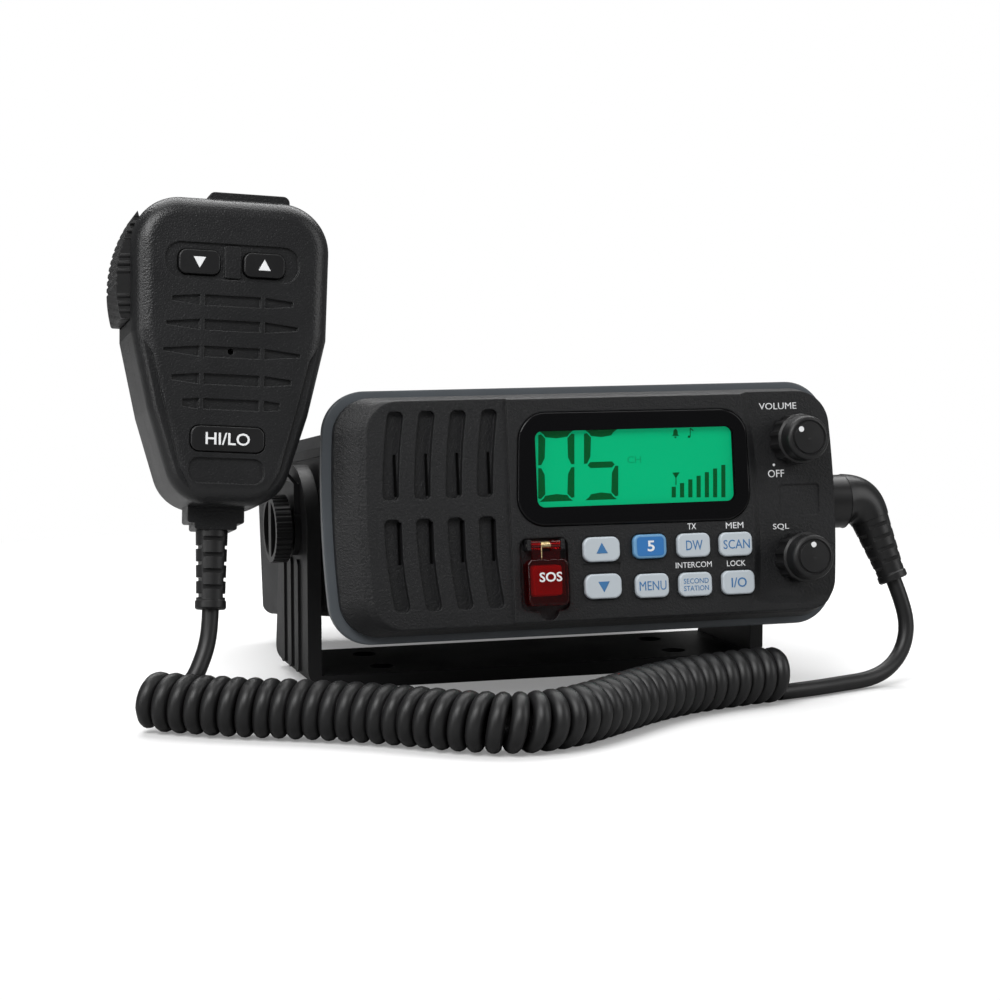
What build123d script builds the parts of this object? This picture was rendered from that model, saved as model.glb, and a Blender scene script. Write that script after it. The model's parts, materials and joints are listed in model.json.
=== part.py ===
from build123d import *
import math
import os

# Fixed-mount VHF marine radio on its U bracket, with hand microphone and curly cord.
#
# Frame: origin at the middle of the bracket's flat base, on the surface it stands on.
# +X is to the right seen from the front, +Y goes back, +Z is up. Millimetres.
# The radio is drawn upright in its own frame (origin at the panel's middle, y = depth)
# and then leaned back about the clamp axis. The microphone is drawn the same way.

# ---------------------------------------------------------------- driving dimensions
PANEL_WIDTH = 170.0          # flush-mount gasket, outside
PANEL_HEIGHT = 78.4
GASKET_THICK = 2.5
GASKET_OVERHANG = 3.0        # gasket beyond the bezel, left and right
GASKET_OVERHANG_Z = 2.3      # gasket beyond the bezel, top and bottom
RIM_DEPTH = 2.5              # upright rim of the bezel
FACE_DEPTH = 8.5             # bezel back to the raised middle face
FACE_INSIDE = 5.0            # bezel back to the inside of the face
FIT = 0.25                   # gap around keys and windows

CHASSIS_HALF = 73.5
CHASSIS_TOP = 29.5
CHASSIS_BOTTOM = -31.0
CHASSIS_REAR = 152.0
CHASSIS_WALL = 3.0
CAVITY_REAR = 120.0

PIVOT_DEPTH = 61.6           # clamp axis in the radio's frame
PIVOT_RISE = -1.4
TILT = 8.2                   # the radio leans back on its clamp knobs

ARM_THICK = 4.6
ARM_GAP = 1.9                # washer and play between the chassis and an arm
ARM_OUTER = CHASSIS_HALF + ARM_GAP + ARM_THICK
BASE_DEPTH = 49.0
PIVOT_Y = -7.2               # clamp axis in the bracket's frame
PIVOT_Z = 51.5
ARM_ROUND = 20.5             # round top of each arm
ARM_ROUND_Y = -4.0
CLAMP_SCREW = 2.45           # radius
CLAMP_HOLE = 2.52

CORD = 2.6                   # cord radius
COIL = 9.1                   # radius over the coils of the curly stretch

MIC_ASIDE = 33.2             # the microphone's middle beyond the left arm
MIC_ORIGIN = (-ARM_OUTER - MIC_ASIDE, -56.0, 112.0)
MIC_LEAN = 12.0
MIC_ROLL = 4.0
MIC_FRONT = -16.0
MIC_SPLIT = -2.0
MIC_BACK = 17.0
MIC_WALL = 2.5

TILT_FRAME = Location((0, PIVOT_Y, PIVOT_Z), (-TILT, 0, 0)) * Location((0, -PIVOT_DEPTH, -PIVOT_RISE))
MIC_FRAME = Location(MIC_ORIGIN, (-MIC_LEAN, MIC_ROLL, 0))

os.makedirs("parts", exist_ok=True)


# ---------------------------------------------------------------- shared helpers
def facing(depth):
    """Plane seen from the front: u to the right, v up, drawn at a depth."""
    return Plane(origin=(0, depth, 0), x_dir=(1, 0, 0), z_dir=(0, -1, 0))


def facing_at(x, depth, z):
    """The same plane with its own origin."""
    return Plane(origin=(x, depth, z), x_dir=(1, 0, 0), z_dir=(0, -1, 0))


def sideways(x):
    """Plane across X: u to the back, v up."""
    return Plane(origin=(x, 0, 0), x_dir=(0, 1, 0), z_dir=(1, 0, 0))


def sideways_at(x, depth, z):
    """The same plane with its own origin."""
    return Plane(origin=(x, depth, z), x_dir=(0, 1, 0), z_dir=(1, 0, 0))


def bowed(left, right, bottom, top, bulge, corner):
    """Rounded outline with its two short sides bowed outwards."""
    middle = (bottom + top) / 2
    with BuildLine() as outline:
        ThreePointArc((left + bulge, bottom), (left, middle), (left + bulge, top))
        Line((left + bulge, top), (right - bulge, top))
        ThreePointArc((right - bulge, top), (right, middle), (right - bulge, bottom))
        Line((right - bulge, bottom), (left + bulge, bottom))
    make_face(outline.edges())
    fillet(vertices(Select.LAST), corner)


def panel_of(x0, x1, z0, z1, corner):
    """Rounded rectangle between two x and two z values."""
    with Locations(((x0 + x1) / 2, (z0 + z1) / 2)):
        RectangleRounded(x1 - x0, z1 - z0, corner)


def write(name, builder, frame=Location()):
    """Name a finished piece, put it into the shared frame and write it."""
    placed = builder.part.moved(frame)
    placed.label = name
    export_step(placed, f"parts/{name}.step")


# ---------------------------------------------------------------- mounting bracket
ARM_BLANK = PIVOT_Z + ARM_ROUND + 8.0    # height of the bent strip before its top is rounded
BEND_OUTER = 7.0
ARM_INNER = ARM_OUTER - ARM_THICK
BASE_HOLE = 2.1
BASE_HOLE_X = 52.0
BASE_HOLE_Y = 12.0
BASE_SINK = 4.2
RIDGE_SPOTS = (-11.0, -0.5, 10.0)
RIDGE_WIDTH = 5.4
RIDGE_LOW, RIDGE_HIGH = 4.0, 41.5
RIDGE_RAISE = 0.8

with BuildPart() as mounting_bracket:
    with BuildSketch(facing(-BASE_DEPTH / 2)):
        with BuildLine():
            Polyline(
                (-ARM_OUTER, ARM_BLANK), (-ARM_OUTER, 0), (ARM_OUTER, 0), (ARM_OUTER, ARM_BLANK),
                (ARM_INNER, ARM_BLANK), (ARM_INNER, ARM_THICK), (-ARM_INNER, ARM_THICK),
                (-ARM_INNER, ARM_BLANK), (-ARM_OUTER, ARM_BLANK),
            )
        make_face()
    extrude(amount=-BASE_DEPTH)
    outer_bends = edges().filter_by(Axis.Y).group_by(Axis.Z)[0]
    fillet(outer_bends, BEND_OUTER)
    with BuildSketch(sideways(-ARM_OUTER - 1)):
        with BuildLine():
            front = Line((-BASE_DEPTH / 2, -1), (-BASE_DEPTH / 2, PIVOT_Z))
            crown = ThreePointArc(
                front @ 1, (ARM_ROUND_Y, PIVOT_Z + ARM_ROUND), (ARM_ROUND_Y + ARM_ROUND, PIVOT_Z)
            )
            rear = Line(crown @ 1, (BASE_DEPTH / 2, 8))
            foot = Line(rear @ 1, (BASE_DEPTH / 2, -1))
            Line(foot @ 1, front @ 0)
        make_face()
    extrude(amount=2 * ARM_OUTER + 2, mode=Mode.INTERSECT)
    ridge_z = (RIDGE_LOW + RIDGE_HIGH) / 2
    for ridge_y in RIDGE_SPOTS:
        left_face = sideways_at(-ARM_OUTER, ridge_y, ridge_z)
        right_face = sideways_at(ARM_OUTER, ridge_y, ridge_z)
        with BuildSketch(left_face, right_face):
            RectangleRounded(RIDGE_WIDTH, RIDGE_HIGH - RIDGE_LOW, RIDGE_WIDTH / 2 - 0.1)
        extrude(amount=RIDGE_RAISE, both=True)
    with Locations(Plane.XY.offset(ARM_THICK)):
        with GridLocations(2 * BASE_HOLE_X, 2 * BASE_HOLE_Y, 2, 2):
            CounterSinkHole(radius=BASE_HOLE, counter_sink_radius=BASE_SINK)
    with BuildSketch(sideways_at(-ARM_OUTER - 2, PIVOT_Y, PIVOT_Z)):
        Circle(CLAMP_HOLE)
    extrude(amount=2 * ARM_OUTER + 4, mode=Mode.SUBTRACT)
write("mounting_bracket", mounting_bracket)

# ---------------------------------------------------------------- friction washers
WASHER_THICK = 1.6
with BuildPart() as arm_washers:
    for start in (-ARM_INNER, ARM_INNER - WASHER_THICK):
        with BuildSketch(sideways_at(start, PIVOT_Y, PIVOT_Z)):
            Circle(11)
            Circle(CLAMP_SCREW + 0.1, mode=Mode.SUBTRACT)
        extrude(amount=WASHER_THICK)
write("arm_washers", arm_washers)

# ---------------------------------------------------------------- microphone hanger
STRIP = 2.0
EYE_RADIUS = 9.0
STRIP_HALF = 7.0
STEP_OUT = 6.6               # the strip steps outwards past the radio's panel
STEP_FROM = 67.0
STEP_TO = 75.0
HANGER_LOW = 99.0
HANGER_HIGH = 116.0
HANG_PLATE = 18.2            # microphone depth at which the slotted plate starts
STUD_Z = 3.0
SLOT_RADIUS = 3.8

with BuildPart() as mic_hanger:
    with BuildSketch(sideways_at(-ARM_OUTER - STRIP, PIVOT_Y, PIVOT_Z)):
        Circle(EYE_RADIUS)
        with Locations((0, (STEP_FROM - PIVOT_Z) / 2)):
            Rectangle(2 * STRIP_HALF, STEP_FROM - PIVOT_Z)
        Circle(CLAMP_SCREW + 0.1, mode=Mode.SUBTRACT)
    extrude(amount=STRIP)
    with BuildSketch(facing(PIVOT_Y - STRIP_HALF)):
        with BuildLine():
            Polyline(
                (-ARM_OUTER, STEP_FROM - 0.8), (-ARM_OUTER - STEP_OUT, STEP_TO - 0.8),
                (-ARM_OUTER - STEP_OUT, HANGER_LOW + 2), (-ARM_OUTER - STEP_OUT - STRIP, HANGER_LOW + 2),
                (-ARM_OUTER - STEP_OUT - STRIP, STEP_TO), (-ARM_OUTER - STRIP, STEP_FROM),
                (-ARM_OUTER - STRIP, STEP_FROM - 0.8), (-ARM_OUTER, STEP_FROM - 0.8),
            )
        make_face()
    extrude(amount=-2 * STRIP_HALF)
    with BuildSketch(sideways(-ARM_OUTER - STEP_OUT - STRIP)):
        with BuildLine():
            Polyline(
                (PIVOT_Y + STRIP_HALF, HANGER_LOW), (PIVOT_Y + STRIP_HALF, HANGER_HIGH - 6),
                (PIVOT_Y + STRIP_HALF - 6, HANGER_HIGH), (-35.4, HANGER_HIGH), (-39.0, HANGER_LOW),
                (PIVOT_Y + STRIP_HALF, HANGER_LOW),
            )
        make_face()
    extrude(amount=STRIP)
    with BuildSketch(Plane(MIC_FRAME * facing(HANG_PLATE + STRIP).location)):
        panel_of(-12, 26.4, -7.2, 9.0, 2)
        with Locations((0, STUD_Z)):
            Circle(SLOT_RADIUS, mode=Mode.SUBTRACT)
        with Locations((0, STUD_Z + 5)):
            Rectangle(2 * SLOT_RADIUS, 10, mode=Mode.SUBTRACT)
    extrude(amount=STRIP)
write("mic_hanger", mic_hanger)

# ---------------------------------------------------------------- clamp knobs and screws
KNOB_BOSS = 7.0
KNOB_RIM = 11.2
RIM_START = ARM_OUTER + 3.4
KNOB_FACE = RIM_START + 5.2
POCKET_RADIUS = 9.2
POCKET_DEPTH = 3.6
GRIP_WEB = 3.6
SCREW_REACH = 8.5            # clamp screw inside the chassis wall's outer face
KNURLS = 36
KNURL_CUT = 0.55

for side, name, boss_start in ((-1, "left", ARM_OUTER + STRIP + 0.1), (1, "right", ARM_OUTER + 0.1)):
    with BuildPart() as clamp_knob:
        with BuildSketch(sideways_at(side * boss_start, PIVOT_Y, PIVOT_Z)):
            Circle(KNOB_BOSS)
        extrude(amount=side * (RIM_START - boss_start))
        with BuildSketch(sideways_at(side * RIM_START, PIVOT_Y, PIVOT_Z)):
            Circle(KNOB_RIM)
            with PolarLocations(KNOB_RIM + 0.15, KNURLS):
                Circle(KNURL_CUT, mode=Mode.SUBTRACT)
        extrude(amount=side * (KNOB_FACE - RIM_START))
        with BuildSketch(sideways_at(side * KNOB_FACE, PIVOT_Y, PIVOT_Z)):
            Circle(POCKET_RADIUS)
            Rectangle(GRIP_WEB, 2 * POCKET_RADIUS + 1, mode=Mode.SUBTRACT)
        extrude(amount=-side * POCKET_DEPTH, mode=Mode.SUBTRACT)
        with BuildSketch(sideways_at(side * boss_start, PIVOT_Y, PIVOT_Z)):
            Circle(CLAMP_SCREW + 0.02)
        extrude(amount=side * 2.6, mode=Mode.SUBTRACT)
    write(f"{name}_clamp_knob", clamp_knob)
    with BuildPart() as clamp_screw:
        with BuildSketch(sideways_at(side * (boss_start + 2.5), PIVOT_Y, PIVOT_Z)):
            Circle(CLAMP_SCREW)
        extrude(amount=-side * (boss_start + 2.5 - CHASSIS_HALF + SCREW_REACH))
    write(f"{name}_clamp_screw", clamp_screw)

# ---------------------------------------------------------------- front panel
LEFT, RIGHT = -PANEL_WIDTH / 2, PANEL_WIDTH / 2
TOP = PANEL_HEIGHT / 2
RIM_RIGHT = RIGHT - 1.4      # on the knobs' side the bezel is steep and hides the gasket
RIM = (LEFT + GASKET_OVERHANG, RIM_RIGHT, -TOP + GASKET_OVERHANG_Z, TOP - GASKET_OVERHANG_Z)
SHOULDER_DEPTH = 7.0         # bezel back to the edge between the wall's two slopes
SHOULDER = (RIM[0] + 6.6, RIM_RIGHT - 0.4, RIM[2] + 1.5, RIM[3] - 1.2)
FACE = (RIM[0] + 11.5, RIM_RIGHT - 0.8, RIM[2] + 2.4, RIM[3] - 1.9)
SPEAKER_STEP = 0.7           # the speaker grille lies below the middle face
KNOB_STEP = 1.5              # the knob field lies below the middle face
CREASE_WIDTH = 2.6           # width of the sloping wall between them
BEYOND = 15.0                # reach of the cuts past the panel's outline
MIDDLE_LEFT = -27.0
KNOB_X = 69.3
VOLUME_Z = 19.9
SQUELCH_Z = -17.9
BUSHING = 4.4
SHAFT = 3.0
SPEAKER = (-47.5, 1.5)
SPEAKER_RADIUS = 25.5
SLOT_PITCH = 10.07
SLOT_WIDTH = 5.2
SLOT_DEPTH = 2.2
SLIT_WIDTH = 0.9
SCREW_LEFT, SCREW_RIGHT = 7.5 - CHASSIS_HALF, CHASSIS_HALF - 14.2
SCREW_LOW, SCREW_HIGH = CHASSIS_BOTTOM + 6.0, CHASSIS_TOP - 6.2
SCREW_SPOTS = (
    (SCREW_LEFT, SCREW_HIGH), (SCREW_LEFT, SCREW_LOW), (SCREW_RIGHT, SCREW_HIGH), (SCREW_RIGHT, SCREW_LOW),
)
SCREW = 1.25
POST = 2.2
KEY_SIZE = (11.0, 7.6, 2.2)
ARROW_SIZE = (12.0, 7.8, 2.6)
KEY_SPOTS = {
    "key_up": (2.0, -12.7, ARROW_SIZE),
    "key_down": (2.1, -24.3, ARROW_SIZE),
    "key_channel": (18.1, -12.4, KEY_SIZE),
    "key_dual_watch": (32.9, -12.6, KEY_SIZE),
    "key_scan": (47.3, -12.8, KEY_SIZE),
    "key_menu": (18.4, -24.8, KEY_SIZE),
    "key_station": (33.0, -25.0, KEY_SIZE),
    "key_power": (47.6, -25.0, KEY_SIZE),
}
ARROW_RECESS = (-4.2, 8.4, -19.9, -17.1)    # between the two arrow keys
ARROW_RECESS_DEPTH = 0.4
SOS_HINGE = (-9.6, -10.6)    # depth and z of the cover's pin
SOS_LEFT, SOS_RIGHT = -24.6, -8.8
SOS_FLOOR = 6.5              # depth of the recess floor
SOS_KEY = (-20.7, -11.3, -26.4, -17.0)
PIN = 0.6
LENS = ((-23.2, 30.8), (52.9, 30.4), (53.4, -5.2), (-25.2, -4.8))
LENS_CORNER = 9.0
LENS_BACK = 7.3
LENS_FRONT = 9.1
LCD = (-18.5, 48.3, 0.9, 25.1)
LCD_CORNER = 2.6
LCD_GAP = 0.15               # between the display and its frame
WINDOW = (-20.2, 50.0, -1.6, 27.6)


def lens_outline(grow):
    """Window outline, grown by a clearance."""
    with BuildLine() as outline:
        Polyline(*LENS, LENS[0])
    make_face(outline.edges())
    fillet(vertices(), LENS_CORNER)
    if grow:
        offset(amount=grow)


def grille_slot(x_top, z_top, x_bow, x_bottom, z_bottom):
    """One slot between two parallel bowed sides."""
    half = SLOT_WIDTH / 2
    z_mid = (z_top + z_bottom) / 2
    with BuildLine() as outline:
        left = ThreePointArc((x_top - half, z_top), (x_bow - half, z_mid), (x_bottom - half, z_bottom))
        low = Line(left @ 1, (x_bottom + half, z_bottom))
        right = ThreePointArc(low @ 1, (x_bow + half, z_mid), (x_top + half, z_top))
        Line(right @ 1, left @ 0)
    make_face(outline.edges())
    fillet(vertices(Select.LAST), 1.7)


with BuildPart() as front_panel:
    with BuildSketch(facing(0)):
        bowed(*RIM, 2.0, 12)
    extrude(amount=RIM_DEPTH)
    with BuildSketch(facing(-RIM_DEPTH)):
        bowed(*RIM, 2.0, 12)
    with BuildSketch(facing(-SHOULDER_DEPTH)):
        bowed(*SHOULDER, 1.8, 11)
    loft(ruled=True)
    with BuildSketch(facing(-SHOULDER_DEPTH)):
        bowed(*SHOULDER, 1.8, 11)
    with BuildSketch(facing(-FACE_DEPTH)):
        bowed(*FACE, 1.6, 9)
    loft(ruled=True)
    with BuildSketch(facing(-FACE_DEPTH)):
        with Locations(((MIDDLE_LEFT + LEFT - BEYOND) / 2, 0)):
            Rectangle(MIDDLE_LEFT - LEFT + BEYOND, PANEL_HEIGHT + BEYOND)
    extrude(amount=-SPEAKER_STEP, mode=Mode.SUBTRACT)
    with BuildSketch(facing(-FACE_DEPTH)):
        with BuildLine():
            crease = ThreePointArc(
                (52.2 - CREASE_WIDTH, 44), (56.6 - CREASE_WIDTH, 7.5), (55.4 - CREASE_WIDTH, -32)
            )
            toe = Line(crease @ 1, (95, -34))
            flank = Line(toe @ 1, (95, 44))
            Line(flank @ 1, crease @ 0)
        make_face()
    extrude(amount=-KNOB_STEP, taper=math.degrees(math.atan(CREASE_WIDTH / KNOB_STEP)), mode=Mode.SUBTRACT)
    with BuildSketch(facing(0)):
        bowed(-77, 77, -31.5, 31.5, 1.5, 8)
    extrude(amount=FACE_INSIDE, mode=Mode.SUBTRACT)
    with BuildSketch(facing(0)):
        with Locations(*SCREW_SPOTS):
            Circle(POST)
    extrude(amount=FACE_INSIDE + 1)
    with BuildSketch(facing(0)):
        with Locations(*SCREW_SPOTS):
            Circle(SCREW + 0.05)
    extrude(amount=4.2, mode=Mode.SUBTRACT)
    with BuildSketch(facing(-FACE_DEPTH)):
        for column in range(4):
            shift = column * SLOT_PITCH
            grille_slot(-62.4 + shift, 32.2, -64.3 + shift, -65.1 + shift, 4.9)
            grille_slot(-64.9 + shift, -1.0, -64.4 + shift, -62.5 + shift, -29.6)
    extrude(amount=-SPEAKER_STEP - SLOT_DEPTH, mode=Mode.SUBTRACT)
    with BuildSketch(facing(-FACE_DEPTH)):
        for column in range(4):
            shift = column * SLOT_PITCH
            with Locations((-62.9 + shift, 12.5), (-62.4 + shift, -8.5)):
                Rectangle(SLIT_WIDTH, 13)
    extrude(amount=-FACE_DEPTH + FACE_INSIDE - 1, mode=Mode.SUBTRACT)
    with BuildSketch(facing(-FACE_DEPTH - 1)):
        lens_outline(0.15)
    extrude(amount=-(1 + FACE_DEPTH - LENS_BACK + 0.1), mode=Mode.SUBTRACT)
    with BuildSketch(facing(-FACE_DEPTH)):
        panel_of(*WINDOW, 3)
    extrude(amount=-FACE_DEPTH + FACE_INSIDE - 1, mode=Mode.SUBTRACT)
    with BuildSketch(facing(-FACE_DEPTH)):
        for key_x, key_z, (key_w, key_h, key_r) in KEY_SPOTS.values():
            with Locations((key_x, key_z)):
                RectangleRounded(key_w + 2 * FIT, key_h + 2 * FIT, key_r + FIT)
    extrude(amount=-FACE_DEPTH + FACE_INSIDE - 1, mode=Mode.SUBTRACT)
    with BuildSketch(facing(-FACE_DEPTH)):
        panel_of(SOS_LEFT, SOS_RIGHT, -31.2, -8.4, 2.5)
        with Locations(((SOS_LEFT + SOS_RIGHT) / 2 + 1, -31.0)):
            Circle(3.2)
    extrude(amount=-FACE_DEPTH + SOS_FLOOR, mode=Mode.SUBTRACT)
    with BuildSketch(facing(-FACE_DEPTH)):
        panel_of(SOS_KEY[0] - FIT, SOS_KEY[1] + FIT, SOS_KEY[2] - FIT, SOS_KEY[3] + FIT, 1.2)
    extrude(amount=-FACE_DEPTH + FACE_INSIDE - 1, mode=Mode.SUBTRACT)
    with BuildSketch(facing(-SOS_FLOOR)):
        panel_of(-22.8, -21.6, -12.2, -8.8, 0.3)
        panel_of(-11.8, -10.6, -12.2, -8.8, 0.3)
    extrude(amount=4.4)
    with BuildSketch(sideways_at(-23.5, *SOS_HINGE)):
        Circle(PIN + 0.04)
    extrude(amount=13.5, mode=Mode.SUBTRACT)
    with BuildSketch(facing(-FACE_DEPTH)):
        with Locations((KNOB_X, VOLUME_Z), (KNOB_X, SQUELCH_Z)):
            Circle(BUSHING + 0.1)
    extrude(amount=-FACE_DEPTH + FACE_INSIDE - 1, mode=Mode.SUBTRACT)
    with BuildSketch(facing(-FACE_DEPTH)):
        panel_of(64.0, 78.0, -4.3, 5.6, 1.2)
    extrude(amount=-KNOB_STEP - 0.4, mode=Mode.SUBTRACT)
    with BuildSketch(facing(-FACE_DEPTH)):
        panel_of(*ARROW_RECESS, 0.5)
    extrude(amount=-ARROW_RECESS_DEPTH, mode=Mode.SUBTRACT)
write("front_panel", front_panel, TILT_FRAME)

# ---------------------------------------------------------------- flush-mount gasket
with BuildPart() as panel_gasket:
    with BuildSketch(facing(0)):
        bowed(LEFT, RIGHT, -TOP, TOP, 2.2, 13.5)
    extrude(amount=-GASKET_THICK)
    with BuildSketch(facing(0)):
        panel_of(-70.3, 70.3, CHASSIS_BOTTOM + CHASSIS_WALL, CHASSIS_TOP - CHASSIS_WALL, 3)
    extrude(amount=-GASKET_THICK, mode=Mode.SUBTRACT)
write("panel_gasket", panel_gasket, TILT_FRAME)

# ---------------------------------------------------------------- die-cast chassis
SOCKET_DEPTH = 12.5          # microphone socket on the right wall
SOCKET_BARREL = 7.0
FIN_SLOTS = 9
FIN_PITCH = 7.0
REAR_BLOCK = 16.0
SOCKET_INSET = 25.5          # rear sockets from the chassis's sides
INLET_X = SOCKET_INSET - CHASSIS_HALF
AERIAL_X = CHASSIS_HALF - SOCKET_INSET
REAR_CUT_Y, REAR_CUT_Z = 7.0, 5.0
REAR_Z = 6.0

with BuildPart() as chassis:
    with BuildSketch(facing(GASKET_THICK)):
        with BuildLine():
            Polyline(
                (-CHASSIS_HALF, CHASSIS_BOTTOM), (CHASSIS_HALF, CHASSIS_BOTTOM),
                (CHASSIS_HALF, CHASSIS_TOP - 5), (CHASSIS_HALF - 5, CHASSIS_TOP),
                (-CHASSIS_HALF + 5, CHASSIS_TOP), (-CHASSIS_HALF, CHASSIS_TOP - 5),
                (-CHASSIS_HALF, CHASSIS_BOTTOM),
            )
        make_face()
        fillet(vertices().group_by(Axis.Y)[0], 3)
    extrude(amount=-(CHASSIS_REAR - GASKET_THICK))
    with BuildSketch(sideways(-CHASSIS_HALF - 1)):
        with BuildLine():
            Polyline(
                (CHASSIS_REAR - REAR_CUT_Y, CHASSIS_BOTTOM - 1), (CHASSIS_REAR + 1, CHASSIS_BOTTOM - 1),
                (CHASSIS_REAR + 1, CHASSIS_BOTTOM + REAR_CUT_Z),
                (CHASSIS_REAR - REAR_CUT_Y, CHASSIS_BOTTOM - 1),
            )
        make_face()
    extrude(amount=2 * CHASSIS_HALF + 2, mode=Mode.SUBTRACT)
    rear_rim = faces().sort_by(Axis.Y)[-1].edges()
    chamfer(rear_rim, 1.5)
    with BuildSketch(facing(GASKET_THICK)):
        panel_of(
            -CHASSIS_HALF + CHASSIS_WALL, CHASSIS_HALF - CHASSIS_WALL,
            CHASSIS_BOTTOM + CHASSIS_WALL, CHASSIS_TOP - CHASSIS_WALL, 3,
        )
    extrude(amount=-(CAVITY_REAR - GASKET_THICK), mode=Mode.SUBTRACT)
    with BuildSketch(facing(CHASSIS_REAR)):
        for slot in range(FIN_SLOTS):
            with Locations(((slot - (FIN_SLOTS - 1) / 2) * FIN_PITCH, 12)):
                Rectangle(3.4, 45)
    extrude(amount=REAR_BLOCK, mode=Mode.SUBTRACT)
    for side in (-1, 1):
        with BuildSketch(sideways_at(side * CHASSIS_HALF, 0, CHASSIS_TOP - 8.4)):
            with Locations((CHASSIS_REAR / 2, 0)):
                Rectangle(CHASSIS_REAR + 10, 1.0)
        extrude(amount=-side * 0.8, mode=Mode.SUBTRACT)
        with BuildSketch(sideways_at(side * (CHASSIS_HALF - CHASSIS_WALL), PIVOT_DEPTH, PIVOT_RISE)):
            Circle(6.5)
        extrude(amount=-side * 6)
        with BuildSketch(sideways_at(side * CHASSIS_HALF, PIVOT_DEPTH, PIVOT_RISE)):
            Circle(CLAMP_HOLE)
        extrude(amount=-side * 9.2, mode=Mode.SUBTRACT)
    with BuildSketch(facing(GASKET_THICK)):
        with Locations(*SCREW_SPOTS):
            Rectangle(6.4, 6.4)
    extrude(amount=-9.5)
    with BuildSketch(facing(GASKET_THICK)):
        with Locations(*SCREW_SPOTS):
            Circle(SCREW + 0.06)
    extrude(amount=-10, mode=Mode.SUBTRACT)
    with BuildSketch(sideways_at(CHASSIS_HALF + 1, SOCKET_DEPTH, 0)):
        Circle(SOCKET_BARREL + 0.1)
    extrude(amount=-CHASSIS_WALL - 3, mode=Mode.SUBTRACT)
write("chassis", chassis, TILT_FRAME)

# ---------------------------------------------------------------- panel screws
with BuildPart() as panel_screws:
    with BuildSketch(facing(12.1)):
        with Locations(*SCREW_SPOTS):
            Circle(SCREW)
    extrude(amount=16)
    with BuildSketch(facing(12.1)):
        with Locations(*SCREW_SPOTS):
            Circle(2.3)
    extrude(amount=-1.6)
write("panel_screws", panel_screws, TILT_FRAME)

# ---------------------------------------------------------------- speaker
SPEAKER_AXIS = Axis((SPEAKER[0], 0, SPEAKER[1]), (0, 1, 0))
SPEAKER_PLANE = Plane(origin=(SPEAKER[0], 0, SPEAKER[1]))

with BuildPart() as grille_cloth:
    with BuildSketch(facing_at(SPEAKER[0], -FACE_INSIDE + 0.35, SPEAKER[1])):
        Circle(SPEAKER_RADIUS)
    extrude(amount=0.3)
write("grille_cloth", grille_cloth, TILT_FRAME)

with BuildPart() as speaker_basket:
    with BuildSketch(SPEAKER_PLANE):
        with BuildLine():
            Polyline(
                (SPEAKER_RADIUS, -4.6), (SPEAKER_RADIUS, -3.4), (23.2, -3.2), (18.5, 0.8), (12.0, 5.0),
                (4.0, 5.0), (4.0, 4.0), (11.6, 4.0), (17.6, 0.1), (22.4, -4.6), (SPEAKER_RADIUS, -4.6),
            )
        make_face()
    revolve(axis=SPEAKER_AXIS)
write("speaker_basket", speaker_basket, TILT_FRAME)

with BuildPart() as speaker_magnet:
    with BuildSketch(facing_at(SPEAKER[0], 5.02, SPEAKER[1])):
        Circle(13)
    extrude(amount=-7)
    chamfer(edges().filter_by(GeomType.CIRCLE).sort_by(Axis.Y)[-1], 0.8)
    with BuildSketch(facing_at(SPEAKER[0], 5.02, SPEAKER[1])):
        Circle(3.9)
    extrude(amount=8)
write("speaker_magnet", speaker_magnet, TILT_FRAME)

# ---------------------------------------------------------------- display stack
with BuildPart() as display_window:
    with BuildSketch(facing(-LENS_BACK)):
        lens_outline(0)
    extrude(amount=LENS_FRONT - LENS_BACK)
    fillet(faces().sort_by(Axis.Y)[0].edges(), 0.7)
write("display_window", display_window, TILT_FRAME)

with BuildPart() as lcd_frame:
    with BuildSketch(facing(-FACE_INSIDE - 0.1)):
        panel_of(WINDOW[0] + 0.1, WINDOW[1] - 0.1, WINDOW[2] + 0.1, WINDOW[3] - 0.1, 2.9)
        with Locations(((LCD[0] + LCD[1]) / 2, (LCD[2] + LCD[3]) / 2)):
            RectangleRounded(LCD[1] - LCD[0], LCD[3] - LCD[2], LCD_CORNER, mode=Mode.SUBTRACT)
    extrude(amount=LENS_BACK - FACE_INSIDE - 0.2)
write("lcd_frame", lcd_frame, TILT_FRAME)

with BuildPart() as lcd_panel:
    with BuildSketch(facing(-2.6)):
        panel_of(WINDOW[0] - 0.5, WINDOW[1] + 0.5, WINDOW[2] - 0.5, WINDOW[3] + 0.5, 0.6)
    extrude(amount=FACE_INSIDE - 0.1 - 2.6)
    with BuildSketch(facing(-FACE_INSIDE + 0.1)):
        panel_of(LCD[0] + LCD_GAP, LCD[1] - LCD_GAP, LCD[2] + LCD_GAP, LCD[3] - LCD_GAP, LCD_CORNER - LCD_GAP)
    extrude(amount=LENS_BACK - FACE_INSIDE)
write("lcd_panel", lcd_panel, TILT_FRAME)

# ---------------------------------------------------------------- boards
with BuildPart() as control_board:
    with BuildSketch(facing(-0.6)):
        panel_of(-21.3, 55.5, -30.2, 29.8, 1.5)
    extrude(amount=1.6)
    with BuildSketch(facing(-0.6)):
        with Locations((4, 14), (24, 10), (44, 16)):
            Rectangle(9, 9)
    extrude(amount=-1.4)
write("control_board", control_board, TILT_FRAME)

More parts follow.
